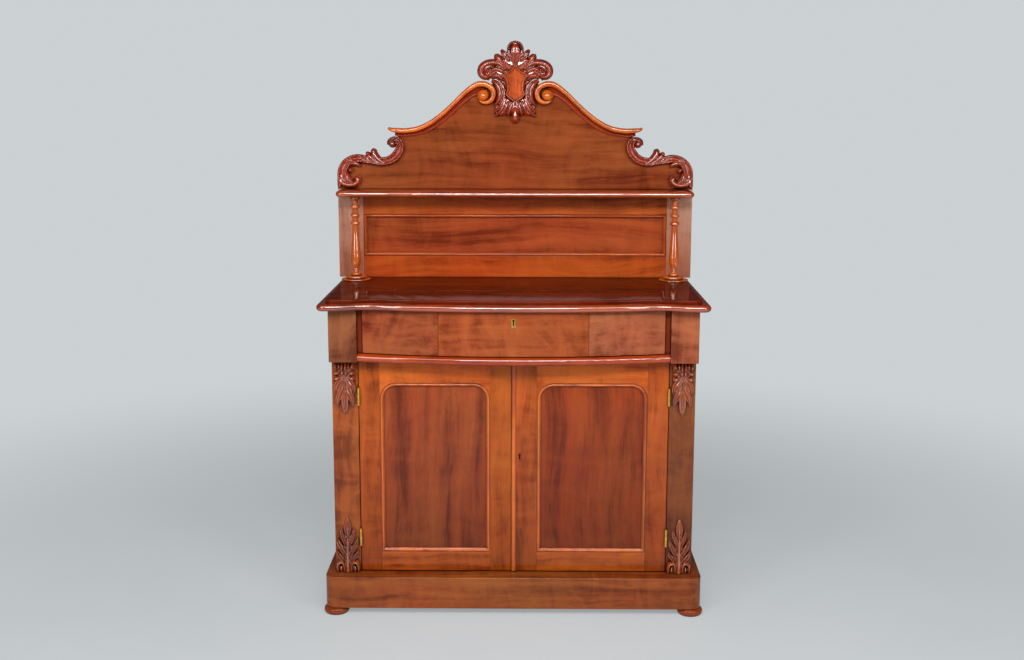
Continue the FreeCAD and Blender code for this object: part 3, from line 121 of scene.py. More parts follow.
def ramp(tree, factor, stops):
    """A colour ramp with (place, colour) stops."""
    made = add(tree, "ValToRGB", {"Fac": factor})
    elements = made.color_ramp.elements
    while len(elements) < len(stops):
        elements.new(0.5)
    for element, (place, shade) in zip(elements, stops):
        element.position = place
        element.color = shade
    return made.outputs["Color"]


def blend(tree, mode, factor, first, second):
    """Two colours mixed in one of the usual modes."""
    made = add(tree, "Mix", {0: factor, 6: first, 7: second}, data_type="RGBA", blend_type=mode)
    return made.outputs[2]


def pattern(tree, vector, along, across, detail, roughness=0.55, distortion=0.0):
    """Noise with one scale along the first axis and another across it, per metre."""
    stretched = add(tree, "VectorMath", {0: vector, 1: (along, across, across)}, operation="MULTIPLY")
    values = {"Vector": stretched.outputs["Vector"], "Scale": 1.0, "Detail": detail,
              "Roughness": roughness, "Distortion": distortion}
    return add(tree, "TexNoise", values).outputs["Fac"]


def math_node(tree, operation, first, second=0.0, third=0.0):
    return add(tree, "Math", {0: first, 1: second, 2: third}, operation=operation).outputs[0]


def principled(name):
    """A new material, its node tree and its shader."""
    material = bpy.data.materials.new(name)
    material.use_nodes = True
    return material, material.node_tree, material.node_tree.nodes["Principled BSDF"]


def grime_and_shade(tree, base, shade, reach, start=0.25, end=0.85):
    """Darkens the colour within reach of another face, where less light gets in: a painted shade, with old
    polish and grime gathered in the corners as well.
    """
    shadow = add(tree, "AmbientOcclusion", {"Distance": reach}, samples=AO_SAMPLES).outputs["AO"]
    grime_and_shade_ramp = ramp(tree, shadow, [(start, shade), (end, grey(1.0))])
    return blend(tree, "MULTIPLY", GRIME_AND_SHADE_WEIGHT, base, grime_and_shade_ramp)


def bumped(tree, shader, height, strength, distance):
    """Lets the height pattern catch the light, as deep as the distance in metres."""
    bump = add(tree, "Bump", {"Strength": strength, "Distance": distance, "Height": height})
    tree.links.new(bump.outputs["Normal"], shader.inputs["Normal"])


print("node helpers ready")

# %% [markdown]
# ## French-polished mahogany
# Mahogany has long streaks along the grain, fine fibres and pores within them, and a figure that rolls
# across them where the log forked.  Each of these is a noise stretched to its own scale along and across
# the grain, and the sum picks a colour between a dark, a middle and a light tone of the same board.  Some
# boards carry painted light and shade, lighter towards the top and darker lower down, and some pairs came
# from two boards.  A clear coat over a duller base gives the shine of shellac: the coat mirrors the studio,
# while the base keeps the warm, soft glow of the wood.

# %% Mahogany
GRAIN_TURN = {"x": (0, 0, 0), "y": (0, 0, math.radians(-90)), "z": (0, math.radians(90), 0)}
# each pattern's scale along the grain and across it, its detail, roughness and distortion
STREAKS, BROAD, CURL = (2.0, 42, 7.0, 0.62, 0.3), (1.6, 13, 4.0, 0.55, 0.8), (12, 5, 4.0, 0.6, 1.6)
PATCHES, FIBRES, PORES = (2.2, 5.5, 2.0), (26, 640, 2.0), (60, 1500, 1.0)
# how far each pattern swings the tone
STREAK_SWING, BROAD_SWING, CURL_SWING, FIBRE_SWING = 0.52, 0.50, 0.60, 0.12
GRAIN_BENDS, BENDS_SCALE = (0.16, 0.08, 0.08), 2.6      # how far the grain strays, in metres, and how often
LOG_STEPS = (1.31, 0.77, 2.03)         # from one seed to the next, in metres through the log
HUE_WEIGHT, PORE_WEIGHT, PORE_DEPTH = 0.8, 0.55, -0.6
# factors on the board's tone
SHADE_DARK, SHADE_LIGHT = (0.50, 0.40, 0.38), (1.28, 1.42, 1.36)
REDDER, GOLDEN = (1.03, 0.84, 0.80, 1.0), (1.01, 1.12, 0.96, 1.0)
# the last colour on the next line darkens the mahogany's corners: old polish and grime, and painted shade
PORE_SHADE, MAHOGANY_GRIME_AND_SHADE = (0.42, 0.34, 0.32, 1.0), (0.10, 0.05, 0.04, 1.0)
# the first and last sheet colours below make the drawer's end sheets paler and bluer, a painted sheen,
# strongest on the right-hand end
SHEET_COLOURS_AND_SHEEN = ((0.92, 1.04, 1.25, 1.0), (1.0, 1.0, 1.0, 1.0), (1.0, 1.30, 1.9, 1.0))
GLUE_LINE = (0.35, 0.28, 0.25, 1.0)
SEAM = 0.0005                          # half the width of a line of glue
SHEET_SHIFT = (3.7, 1.9)               # how far the pattern jumps from sheet to sheet
DULL = (0.37, 0.51)                    # roughness of the wood under the polish
# weight, refraction and blur of the polish
SATIN, FLAT_TOP, FACED = (1.0, 1.36, 0.08), (0.4, 1.4, 0.04), (1.0, 1.6, 0.09)
BRIGHT, BEADED, DIM = (1.0, 2.2, 0.07), (1.0, 1.7, 0.07), (0.4, 1.3, 0.2)
CARVED, LEAFY = (1.0, 2.2, 0.065), (1.0, 2.0, 0.07)


def scaled(tone, shade):
    """The tone with each of its channels times the shade's."""
    return (*(part * factor for part, factor in zip(tone, shade)), 1.0)


def laid_along(tree, place, grain, seed, steps):
    """Turns the patterns' long axis along the grain, and starts each seed at its own place in the log."""
    start = [seed * step for step in steps]
    values = {"Vector": place, "Location": start, "Rotation": GRAIN_TURN[grain]}
    return add(tree, "Mapping", values).outputs["Vector"]


def weighed(tree, total, share, amount):
    """Adds the share's swing about its middle, times the amount, to the total."""
    return math_node(tree, "MULTIPLY_ADD", math_node(tree, "SUBTRACT", share, 0.5), amount, total)


def shaded(tree, wood, share, first, second):
    """Tints the wood with the first shade where the share is 0, and with the second where it is 1."""
    return blend(tree, "MULTIPLY", 1.0, wood, ramp(tree, share, [(0.0, first), (1.0, second)]))


def veneer_sheets(tree, across, laid, width):
    """Shifts the pattern from one sheet of veneer to the next, so that the figure breaks at the seams,
    and gives each sheet its own colour cast, the end sheets paler and bluer as a painted sheen, strongest on
    the right, with a dark line of glue between them."""
    turns = math_node(tree, "MULTIPLY_ADD", across, 1 / width, 0.5)
    number = math_node(tree, "FLOOR", turns)
    shift = add(tree, "CombineXYZ", {"X": math_node(tree, "MULTIPLY", number, SHEET_SHIFT[0]),
                                     "Y": math_node(tree, "MULTIPLY", number, SHEET_SHIFT[1]), "Z": number})
    values = {0: laid, 1: shift.outputs["Vector"]}
    moved = add(tree, "VectorMath", values, operation="ADD").outputs["Vector"]
    sheet = math_node(tree, "MULTIPLY_ADD", number, 0.5, 0.5)
    sheet_colour_and_sheen = ramp(tree, sheet, list(zip((0.0, 0.5, 1.0), SHEET_COLOURS_AND_SHEEN)))
    gap = math_node(tree, "PINGPONG", turns, 0.5)
    line = ramp(tree, gap, [(SEAM / width, GLUE_LINE), (2 * SEAM / width, grey(1.0))])
    return moved, blend(tree, "MULTIPLY", 1.0, sheet_colour_and_sheen, line)


def mahogany(name, grain, tone, seed, figure, contrast, shine, sheets=None, painted_light=None, pair=None):
    """Polished mahogany: sheets is the width of its veneers, the argument after it a painted light and shade
    that change from one height to another, and pair the shades of a left and a right piece."""
    material, tree, shader = principled(name)
    place = add(tree, "TexCoord").outputs["Object"]
    sides = add(tree, "SeparateXYZ", {0: place}).outputs
    laid = laid_along(tree, place, grain, seed, LOG_STEPS)
    if sheets:
        laid, sheet_colour_and_sheen = veneer_sheets(tree, sides["X"], laid, sheets)
    wander = add(tree, "TexNoise", {"Vector": laid, "Scale": BENDS_SCALE, "Detail": 2.0}).outputs["Color"]
    wave = {0: wander, 1: GRAIN_BENDS, 2: laid}
    waved = add(tree, "VectorMath", wave, operation="MULTIPLY_ADD").outputs["Vector"]
    streaks, broad, curl, patches = (pattern(tree, waved, *kind) for kind in (STREAKS, BROAD, CURL, PATCHES))
    fibre, pores = (pattern(tree, laid, *kind) for kind in (FIBRES, PORES))
    total = weighed(tree, 0.5, streaks, STREAK_SWING * contrast)
    total = weighed(tree, total, broad, BROAD_SWING * contrast)
    total = weighed(tree, total, curl, CURL_SWING * figure)
    total = weighed(tree, total, fibre, FIBRE_SWING)
    wood = ramp(tree, total, [(0.36, scaled(tone, SHADE_DARK)), (0.50, tone),
                              (0.64, scaled(tone, SHADE_LIGHT))])
    hue = ramp(tree, patches, [(0.36, REDDER), (0.64, GOLDEN)])
    wood = blend(tree, "MULTIPLY", HUE_WEIGHT, wood, hue)
    # each sheet's own colour, with the painted sheen on the drawer's end sheets
    if sheets:
        wood = blend(tree, "MULTIPLY", 1.0, wood, sheet_colour_and_sheen)
    # painted light and shade by height: lighter towards the top, darker lower down
    if painted_light:
        low, high, *shades = painted_light
        share = add(tree, "MapRange", {0: sides["Z"], 1: low, 2: high}).outputs["Result"]
        wood = shaded(tree, wood, share, *shades)
    if pair:
        wood = shaded(tree, wood, math_node(tree, "GREATER_THAN", sides["X"], 0.0), *pair)
    speck = ramp(tree, pores, [(0.60, grey(1.0)), (0.72, PORE_SHADE)])
    wood = blend(tree, "MULTIPLY", PORE_WEIGHT, wood, speck)
    # darker within 10 mm of another face: old polish and grime, and painted shade in the corners and carved
    # hollows
    tree.links.new(grime_and_shade(tree, wood, MAHOGANY_GRIME_AND_SHADE, reach=0.010), shader.inputs["Base Color"])
    sheen = add(tree, "MapRange", {0: broad, 1: 0.3, 2: 0.7, 3: DULL[0], 4: DULL[1]})
    tree.links.new(sheen.outputs["Result"], shader.inputs["Roughness"])
    shader.inputs["Specular IOR Level"].default_value = 0.0
    for socket, value in zip(("Coat Weight", "Coat IOR", "Coat Roughness"), shine):
        shader.inputs[socket].default_value = value
    height = math_node(tree, "MULTIPLY_ADD", pores, PORE_DEPTH, fibre)
    bumped(tree, shader, height, strength=0.22, distance=0.0004)
    return material


print("mahogany recipe ready")

# %% [markdown]
# ## The other finishes
# The drawer's lining, the backs and the shelf are unpolished timber, brown with age, with dust and painted
# shade in their corners.  The hinges and the keyhole plate are brass gone dull in the hollows, where soot and
# painted shade darken them, and the locks are dark iron.

# %% Bare wood and metals
# patterns as for the mahogany, and their shades
BARE_STREAKS, STAINS, BARE_FIBRES = (2.4, 60, 6.0, 0.6, 0.5), (4, 6, 4.0), (30, 500, 2.0)
BARE_DARK, BARE_LIGHT = (0.45, 0.38, 0.30), (1.25, 1.28, 1.25)
TARNISH, SCRATCHES = (140, 140, 5.0, 0.65), (300, 3000, 2.0)
BARE_STEPS = (1.0, 1.7, 0.6)
# the colours on the next line darken corners: dust and painted shade on the bare wood, soot and painted shade
# on the metals
DUST_AND_SHADE, SOOT_AND_SHADE = (0.25, 0.19, 0.15, 1.0), (0.12, 0.08, 0.05, 1.0)


def bare_wood(name, grain, tone, seed):
    """Unpolished timber, rough and stained."""
    material, tree, shader = principled(name)
    place = add(tree, "TexCoord").outputs["Object"]
    laid = laid_along(tree, place, grain, seed, BARE_STEPS)
    streaks, stains, fibre = (pattern(tree, laid, *kind) for kind in (BARE_STREAKS, STAINS, BARE_FIBRES))
    total = math_node(tree, "MULTIPLY_ADD", stains, 0.5, math_node(tree, "MULTIPLY", streaks, 0.5))
    wood = ramp(tree, total, [(0.32, scaled(tone, BARE_DARK)), (0.52, tone),
                              (0.70, scaled(tone, BARE_LIGHT))])
    # darker within 20 mm of another face: dust and painted shade
    tree.links.new(grime_and_shade(tree, wood, DUST_AND_SHADE, reach=0.02, start=0.30), shader.inputs["Base Color"])
    shader.inputs["Roughness"].default_value = 0.78
    bumped(tree, shader, fibre, strength=0.5, distance=0.0006)
    return material


def metal(name, bright, dull, roughness):
    """Old metal, duller and rougher where it has tarnished."""
    material, tree, shader = principled(name)
    place = add(tree, "TexCoord").outputs["Object"]
    tarnish, scratches = (pattern(tree, place, *kind) for kind in (TARNISH, SCRATCHES))
    shade = ramp(tree, tarnish, [(0.40, bright), (0.62, dull)])
    # darker within 3 mm of another face: soot and painted shade in the hollows
    tree.links.new(grime_and_shade(tree, shade, SOOT_AND_SHADE, reach=0.003, end=0.80), shader.inputs["Base Color"])
    shader.inputs["Metallic"].default_value = 1.0
    worn = add(tree, "MapRange", {0: tarnish, 1: 0.35, 2: 0.7, 3: roughness, 4: roughness + 0.22})
    tree.links.new(worn.outputs["Result"], shader.inputs["Roughness"])
    bumped(tree, shader, scratches, strength=0.15, distance=0.0002)
    return material


brass = metal("brass", colour(255, 208, 92), colour(222, 164, 66), roughness=0.24)
iron = metal("lock_iron", colour(120, 116, 112), colour(66, 58, 52), roughness=0.42)
print("bare wood and metals ready")

# %% [markdown]
# ## Boards and their tones
# No two boards of an old piece match.  Each piece gets a tone of its own and a direction for its grain:
# upright on stiles, pilasters, blocks and panels, and along the piece on rails, plinth and shelves.

# %% Mahogany of each piece
BOARDS = {
    # node: (grain, screen colour, seed, figure, contrast)
    "plinth_front": ("x", (137, 68, 29), 11, 0.55, 1.0),
    "plinth_sides": ("y", (126, 54, 25), 12, 0.3, 1.0),
    "side_panels": ("z", (130, 57, 27), 13, 0.5, 1.0),
    "frieze_blocks": ("z", (140, 79, 53), 14, 0.9, 0.8),
    "drawer_stiles": ("z", (116, 45, 19), 15, 0.3, 0.8),
    "pilasters": ("z", (132, 65, 29), 16, 0.9, 1.0),
    "drawer_rail": ("x", (166, 58, 6), 17, 0.4, 0.9),
    "drawer_front": ("x", (150, 70, 39), 18, 0.9, 0.9),
    "door_stiles_left": ("z", (153, 69, 17), 19, 0.6, 1.0),
    "door_stiles_right": ("z", (151, 69, 21), 20, 0.6, 1.0),
    "door_rails_left": ("x", (180, 83, 28), 21, 0.5, 0.9),
    "door_rails_right": ("x", (178, 81, 28), 22, 0.5, 0.9),
    "door_panel_left": ("z", (129, 56, 23), 23, 0.35, 1.1),
    "door_panel_right": ("z", (125, 49, 14), 24, 0.35, 1.1),
    "worktop": ("x", (99, 29, 8), 25, 0.5, 1.0),
    "worktop_edge": ("x", (156, 58, 14), 26, 0.4, 0.9),
    # the gallery stiles' pale pinkish tone is partly the wood's colour and partly a painted sheen
    "gallery_stiles": ("z", (181, 120, 98), 27, 0.4, 0.6),
    "gallery_rails": ("x", (167, 70, 28), 28, 0.4, 1.0),
    "gallery_panel": ("x", (153, 69, 35), 29, 0.4, 1.0),
    "gallery_shelf": ("x", (156, 60, 14), 30, 0.4, 0.9),
    "gallery_board": ("x", (132, 62, 31), 31, 0.5, 1.1),
    "columns": ("z", (190, 82, 18), 32, 0.3, 0.9),
    "bun_feet": ("x", (134, 56, 22), 33, 0.3, 0.9),
    "meeting_bead": ("z", (192, 90, 8), 34, 0.3, 0.8),
    "door_panel_moulding_left": ("z", (188, 86, 8), 35, 0.3, 0.8),
    "door_panel_moulding_right": ("z", (188, 86, 8), 36, 0.3, 0.8),
    "gallery_panel_moulding": ("x", (176, 74, 16), 37, 0.3, 0.8),
    "arch_mouldings": ("x", (198, 92, 20), 38, 0.3, 0.8),
    "side_scrolls": ("x", (146, 46, 11), 39, 0.3, 0.7),
    "crest": ("z", (150, 48, 12), 40, 0.3, 0.7),
    "upper_leaves": ("z", (150, 70, 28), 41, 0.3, 0.7),
    "lower_leaves": ("z", (166, 78, 33), 42, 0.3, 0.7),
}
VENEER_SHEET = 0.410       # drawer front: a middle sheet and two ends
SHINES = {
    FLAT_TOP: ("worktop",),
    BRIGHT: ("worktop_edge", "gallery_shelf", "columns"),
    BEADED: ("drawer_rail", "meeting_bead", "arch_mouldings", "door_panel_moulding_left",
             "door_panel_moulding_right", "gallery_panel_moulding"),
    CARVED: ("side_scrolls", "crest", "lower_leaves"),
    LEAFY: ("upper_leaves",),
}
# painted light and shade: lighter towards the top and darker lower down, with a pale bluish painted sheen at
# the top of the gallery stiles and head rail; a lower and an upper height, and the shades there
FRONT_PAINTED_LIGHT = (0.14, 0.72, (0.74, 0.72, 0.72, 1.0), (1.26, 1.27, 1.24, 1.0))
STILE_PAINTED_SHEEN = (0.95, 1.17, (0.80, 0.66, 0.62, 1.0), (1.18, 1.50, 1.75, 1.0))
RAIL_PAINTED_LIGHT = (1.00, 1.15, (1.0, 1.0, 1.0, 1.0), (1.25, 1.55, 1.75, 1.0))
PAINTED_LIGHT_BY_HEIGHT = {
    "gallery_stiles": STILE_PAINTED_SHEEN, "gallery_rails": RAIL_PAINTED_LIGHT, "pilasters": FRONT_PAINTED_LIGHT,
    "door_stiles_left": FRONT_PAINTED_LIGHT, "door_rails_left": FRONT_PAINTED_LIGHT, "door_panel_left": FRONT_PAINTED_LIGHT,
    "door_stiles_right": FRONT_PAINTED_LIGHT, "door_rails_right": FRONT_PAINTED_LIGHT, "door_panel_right": FRONT_PAINTED_LIGHT,
}
PAIRS = {       # shades of a left-hand and a right-hand piece that came from two boards
    "pilasters": ((1.28, 1.28, 1.05, 1.0), (0.72, 0.75, 0.88, 1.0)),
    "frieze_blocks": ((0.82, 0.98, 0.94, 1.0), (1.13, 0.96, 1.03, 1.0)),
}
polish = {}
for node, (grain, screen, seed, figure, contrast) in BOARDS.items():
    sheets = VENEER_SHEET if node == "drawer_front" else None
    shine = next((finish for finish, nodes in SHINES.items() if node in nodes), SATIN)
    polish[node] = mahogany(f"mahogany_{node}", grain, colour(*screen), seed, figure, contrast, shine,
                            sheets, PAINTED_LIGHT_BY_HEIGHT.get(node), PAIRS.get(node))
shield_polish = mahogany("mahogany_shield", "z", colour(205, 96, 50), seed=43, figure=0.6, contrast=1.0,
                         shine=FACED)
cove_polish = mahogany("mahogany_arch_cove", "x", colour(138, 44, 18), seed=44, figure=0.3, contrast=0.8,
                       shine=DIM)
print(len(polish), "boards of mahogany")

# %% Bare wood and metal on the nodes that keep their shape
BARE = {"x": ("back_top_rail", "plinth_back", "cupboard_bottom", "cupboard_shelf", "drawer_back",
              "drawer_bottom", "door_stops"),
        "y": ("drawer_runners", "drawer_kickers", "shelf_battens", "drawer_sides"),
        "z": ("back_boards", "plinth_glue_blocks", "gallery_dowels")}
PINE = colour(168, 132, 92)


def dress(node, material):
    """Puts the material on all of a node."""
    for slot in frame["nodes"][node].material_slots:
        slot.material = material


for grain, nodes in BARE.items():
    timber = bare_wood(f"bare_wood_along_{grain}", grain, PINE, ord(grain))
    for node in nodes:
        dress(node, timber)
for node, kind in slot_of.items():
    if kind in ("brass", "lock_steel"):
        dress(node, brass if kind == "brass" else iron)
for node, material in polish.items():
    dress(node, material)
print("every node has a finish")

# %% [markdown]
# ## Finished pieces
# A bmesh becomes a piece in one step: its doubles are merged, its faces turned outwards, and it gets a
# material, smooth shading that stops at real arrises and the body it moves with, and the node it stands for,
# if any, is hidden.

# %% Finish a piece
MERGE = 1e-6    # corners nearer than this are one, in metres


def finished(name, bm, node, sharp, material=None, stands_for=True):
    """A piece of the chiffonier; sharp is the angle between faces, in degrees, that stays a crisp arris."""
    bmesh.ops.remove_doubles(bm, verts=bm.verts, dist=MERGE)
    bmesh.ops.recalc_face_normals(bm, faces=bm.faces)
    for face in bm.faces:
        face.smooth = True
    for edge in bm.edges:
        if edge.calc_face_angle(0) > math.radians(sharp):
            edge.smooth = False
    mesh = bpy.data.meshes.new(name)
    bm.to_mesh(mesh)
    bm.free()
    mesh.materials.append(material or polish[node])
    piece = bpy.data.objects.new(name, mesh)
    scene.collection.objects.link(piece)
    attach(piece, body_of[node])
    if stands_for:
        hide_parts(node)
    print(f"{name}: {len(mesh.polygons)} faces")
    return piece


# %% [markdown]
# ## Softened arrises
# A cabinet maker takes every sharp corner off with a pass of sandpaper, and the thin line of light along
# it is what makes a real edge.  A copy of the node's mesh is merged, its flat faces are joined up again,
# and the arrises that are left are bevelled.

# %% Ease the joinery
FLAT, ARRIS = 0.3, 38       # degrees: faces nearer than FLAT are one, and more than ARRIS is a sharp corner


def eased(node, width):
    """The node's own mesh with rounded arrises; a width of 0 leaves the turned and moulded ones alone."""
    bm = bmesh.new()
    bm.from_mesh(frame["nodes"][node].data)
    bmesh.ops.remove_doubles(bm, verts=bm.verts, dist=MERGE)
    if width:
        bmesh.ops.dissolve_limit(bm, angle_limit=math.radians(FLAT), verts=bm.verts, edges=bm.edges)
        arrises = [edge for edge in bm.edges
                   if edge.is_manifold and edge.calc_face_angle() > math.radians(ARRIS)]
        rounds = set(bmesh.ops.bevel(bm, geom=arrises, offset=width, offset_type="OFFSET", affect="EDGES",
                                     segments=2, profile=0.5, material=-1)["faces"])
        for edge in bm.edges:
            if sum(face in rounds for face in edge.link_faces) == 1:
                edge.smooth = False
    finished(f"{node}_eased", bm, node, sharp=50)


EASE = {        # width of the rounding, in millimetres
    1.6: ("frieze_blocks", "plinth_front", "plinth_sides"),
    1.0: ("side_panels", "drawer_stiles", "pilasters", "drawer_front", "gallery_stiles", "gallery_board"),
    0.7: ("door_stiles_left", "door_stiles_right", "door_rails_left", "door_rails_right", "gallery_rails"),
    0.0: ("drawer_rail", "worktop", "worktop_edge", "gallery_shelf", "columns", "bun_feet"),
}
for width, nodes in EASE.items():
    for node in nodes:
        eased(node, width * MM)

# %% [markdown]
# ## A section carried along a path
# Mouldings, scrolls and leaves are all the same idea: a drawn section that travels along a path.  A
# plane does it for a straight moulding, a carver's gouge for a scroll.  The section is drawn as a loop
# in the unit square and extruded from station to station, and each station says where it is, how wide
# the section is there and how far it stands out.

# %% Sweep
BEAD_STEPS = 10


def through(points, steps=5):
    """A smooth run of stations through a few given ones."""
    spread = [points[0], *points, points[-1]]
    run = []
    for knots in zip(spread, spread[1:], spread[2:], spread[3:]):
        for step in range(steps):
            t = step / steps
            run.append(tuple(
                0.5 * (2 * b + (c - a) * t + (2 * a - 5 * b + 4 * c - d) * t * t
                       + (3 * b - a - 3 * c + d) * t ** 3)
                for a, b, c, d in zip(*knots)))
    run.append(points[-1])
    return run


def station(x, z, side, wide, rise, face):
    """Stands a section at (x, z) millimetres, its width along side and its height to the front."""
    way = Vector((side.z, 0, -side.x))
    return Matrix((
        (side.x * wide * MM, 0, way.x, x * MM),
        (0, -rise * MM, 0, face),
        (side.z * wide * MM, 0, way.z, z * MM),
        (0, 0, 0, 1)))


def along(stations, face):
    """Places for (x, z, half width, rise) stations, one after the other."""
    places = []
    for index, (x, z, half, rise) in enumerate(stations):
        before = stations[max(index - 1, 0)]
        after = stations[min(index + 1, len(stations) - 1)]
        way = Vector((after[0] - before[0], 0, after[1] - before[1])).normalized()
        places.append(station(x, z, Vector((-way.z, 0, way.x)), half, rise, face))
    return places


def around(points, face):
    """Places for a closed run of (x, z) points, mitred at each of them."""
    places = []
    for index, (x, z) in enumerate(points):
        before, after = points[index - 1], points[(index + 1) % len(points)]
        sides = []
        for start, end in ((before, (x, z)), ((x, z), after)):
            way = Vector((end[0] - start[0], 0, end[1] - start[1])).normalized()
            sides.append(Vector((-way.z, 0, way.x)))
        side = (sides[0] + sides[1]).normalized()
        places.append(station(x, z, side, 1 / side.dot(sides[0]), 1.0, face))
    return places + places[:1]


def sweep(bm, section, places):
    """Extrudes the closed section from place to place, and closes the ends of an open run."""
    ring = [bm.verts.new(places[0] @ Vector((across, out, 0))) for across, out in section]
    edges = [bm.edges.new((ring[number - 1], ring[number])) for number in range(len(ring))]
    caps = [list(edges)]
    for before, after in zip(places, places[1:]):
        moved = bmesh.ops.extrude_edge_only(bm, edges=edges)["geom"]
        verts = [item for item in moved if isinstance(item, bmesh.types.BMVert)]
        edges = [item for item in moved if isinstance(item, bmesh.types.BMEdge)]
        bmesh.ops.transform(bm, matrix=after @ before.inverted(), verts=verts)
    caps.append(edges)
    if places[0] != places[-1]:
        for rim in caps:
            bmesh.ops.contextual_create(bm, geom=rim)


def half_round(across, out, radius):
    """The points of a half-round bead whose middle is at (across, out) of a section."""
    turns = [math.pi * step / BEAD_STEPS for step in range(BEAD_STEPS + 1)]
    return [(across - radius * math.cos(turn), out + radius * math.sin(turn)) for turn in turns]


DOME = list(reversed(half_round(0, 0, 1)))
HOLLOW = [(1, 0), (0.97, 0.62), (0.88, 0.92), (0.72, 1.0), (0.55, 0.92), (0.35, 0.72), (0, 0.60),
          (-0.35, 0.72), (-0.55, 0.92), (-0.72, 1.0), (-0.88, 0.92), (-0.97, 0.62), (-1, 0)]
print("sweep ready")

# %% [markdown]
# ## Carving
# The carver lays a leaf or a scroll on the wood as a bundle of ridges that swell and die away, and cuts
# the hollows between them.  Here each ridge is a swept strand: a plain dome, or a hollow with a raised lip
# for a lobe of a leaf.  Balls sit in the curls, and the crest has its sawn block as a core.  A voxel
# remesh then fuses the bundle into one skin, as if it came out of one block, and a little smoothing
# rounds it the way sandpaper and polish do.  The strands are listed in millimetres as (x, z, half width,
# rise) on the right-hand side, and the balls as (x, z, radius, rise).

# %% Carving helpers
BACKSET = 1.0 * MM        # strands start this far inside the board, so that no gap shows
BALL_SIDES, BALL_RINGS = 24, 16
LEAF_VOXEL, SCROLL_VOXEL, CREST_VOXEL = 0.75 * MM, 0.8 * MM, 0.9 * MM
MOST_TRIANGLES = 185_000


def joined(bm, lump):
    """Adds the lump to the bundle."""
    mesh = bpy.data.meshes.new("lump")
    lump.to_mesh(mesh)
    lump.free()
    bm.from_mesh(mesh)
    bpy.data.meshes.remove(mesh)


def strand(bm, points, face, section=DOME):
    """One ridge of the bundle, standing on the face."""
    lump = bmesh.new()
    sweep(lump, section, along(through(points), face + BACKSET))
    joined(bm, lump)


def ball(bm, x, z, radius, rise, face):
    """The front half of a ball, closed by a flat back inside the board."""
    lump = bmesh.new()
    bmesh.ops.create_uvsphere(lump, u_segments=BALL_SIDES, v_segments=BALL_RINGS, radius=1.0)
    place = (Matrix.Translation((x * MM, face, z * MM))
             @ Matrix.Diagonal((radius * MM, rise * MM, radius * MM, 1)))
    bmesh.ops.transform(lump, matrix=place, verts=lump.verts)
    cut = bmesh.ops.bisect_plane(lump, geom=lump.verts[:] + lump.edges[:] + lump.faces[:], dist=1e-7,
                                 plane_co=(0, face + BACKSET, 0), plane_no=(0, 1, 0), clear_outer=True)
    rim = [item for item in cut["geom_cut"] if isinstance(item, bmesh.types.BMEdge)]
    bmesh.ops.contextual_create(lump, geom=rim)
    joined(bm, lump)


def mirrored(bm):
    """Adds the left-hand half as a mirror image."""
    copy = bmesh.ops.duplicate(bm, geom=bm.verts[:] + bm.edges[:] + bm.faces[:])["geom"]
    verts = [item for item in copy if isinstance(item, bmesh.types.BMVert)]
    faces = [item for item in copy if isinstance(item, bmesh.types.BMFace)]
    bmesh.ops.scale(bm, vec=(-1, 1, 1), verts=verts)
    bmesh.ops.reverse_faces(bm, faces=faces)


def core(bm, node, face, share, inset):
    """The sawn block of the node, cut down to a share of its height over the face and drawn in a little
    from its outline, so that the strands make the edge."""
    block = bmesh.new()
    block.from_mesh(frame["nodes"][node].data)
    bmesh.ops.remove_doubles(block, verts=block.verts, dist=MERGE)
    low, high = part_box(node)
    space = Matrix.Translation((0, -face, -(low.z + high.z) / 2))
    bmesh.ops.scale(block, vec=(inset, share, inset), space=space, verts=block.verts)
    joined(bm, block)


def carved(name, bm, node, voxel):
    """Fuses the strands into one skin, softens it, and thins it where it has more faces than its curves
    need."""
    bmesh.ops.recalc_face_normals(bm, faces=bm.faces)
    mesh = bpy.data.meshes.new(f"{name}_strands")
    bm.to_mesh(mesh)
    bm.free()
    block = bpy.data.objects.new(f"{name}_strands", mesh)
    scene.collection.objects.link(block)
    remesh = block.modifiers.new("fuse", "REMESH")
    remesh.mode = "VOXEL"
    remesh.voxel_size = voxel
    fused = bpy.data.meshes.new_from_object(block.evaluated_get(bpy.context.evaluated_depsgraph_get()))
    bpy.data.objects.remove(block)
    skin = bmesh.new()
    skin.from_mesh(fused)
    bmesh.ops.smooth_vert(skin, verts=skin.verts, factor=0.5, use_axis_x=True, use_axis_y=True,
                          use_axis_z=True)
    piece = finished(name, skin, node, sharp=180)
    triangles = sum(len(face.vertices) - 2 for face in piece.data.polygons)
    thin = piece.modifiers.new("thin", "DECIMATE")
    thin.ratio = min(1.0, MOST_TRIANGLES / triangles)
    print(f"{name}: {triangles} triangles, {thin.ratio:.2f} of them kept")


print("carving helpers ready")

# %% [markdown]
# ## The leaves
# Each pilaster has a leaf at its head, hanging from the frieze block like a bracket, and one at its foot.
# Both are acanthus leaves: a stem, lobes in pairs that grow out of it, and a raised lip round each lobe.
# The upper one rolls forward over its top in three flutes.

# %% Leaves
RAIL_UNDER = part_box("pilasters")[1].z / MM
PLINTH_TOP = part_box("pilasters")[0].z / MM
DOOR_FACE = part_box("pilasters")[0].y
LEAF_MIDDLE = 472.5

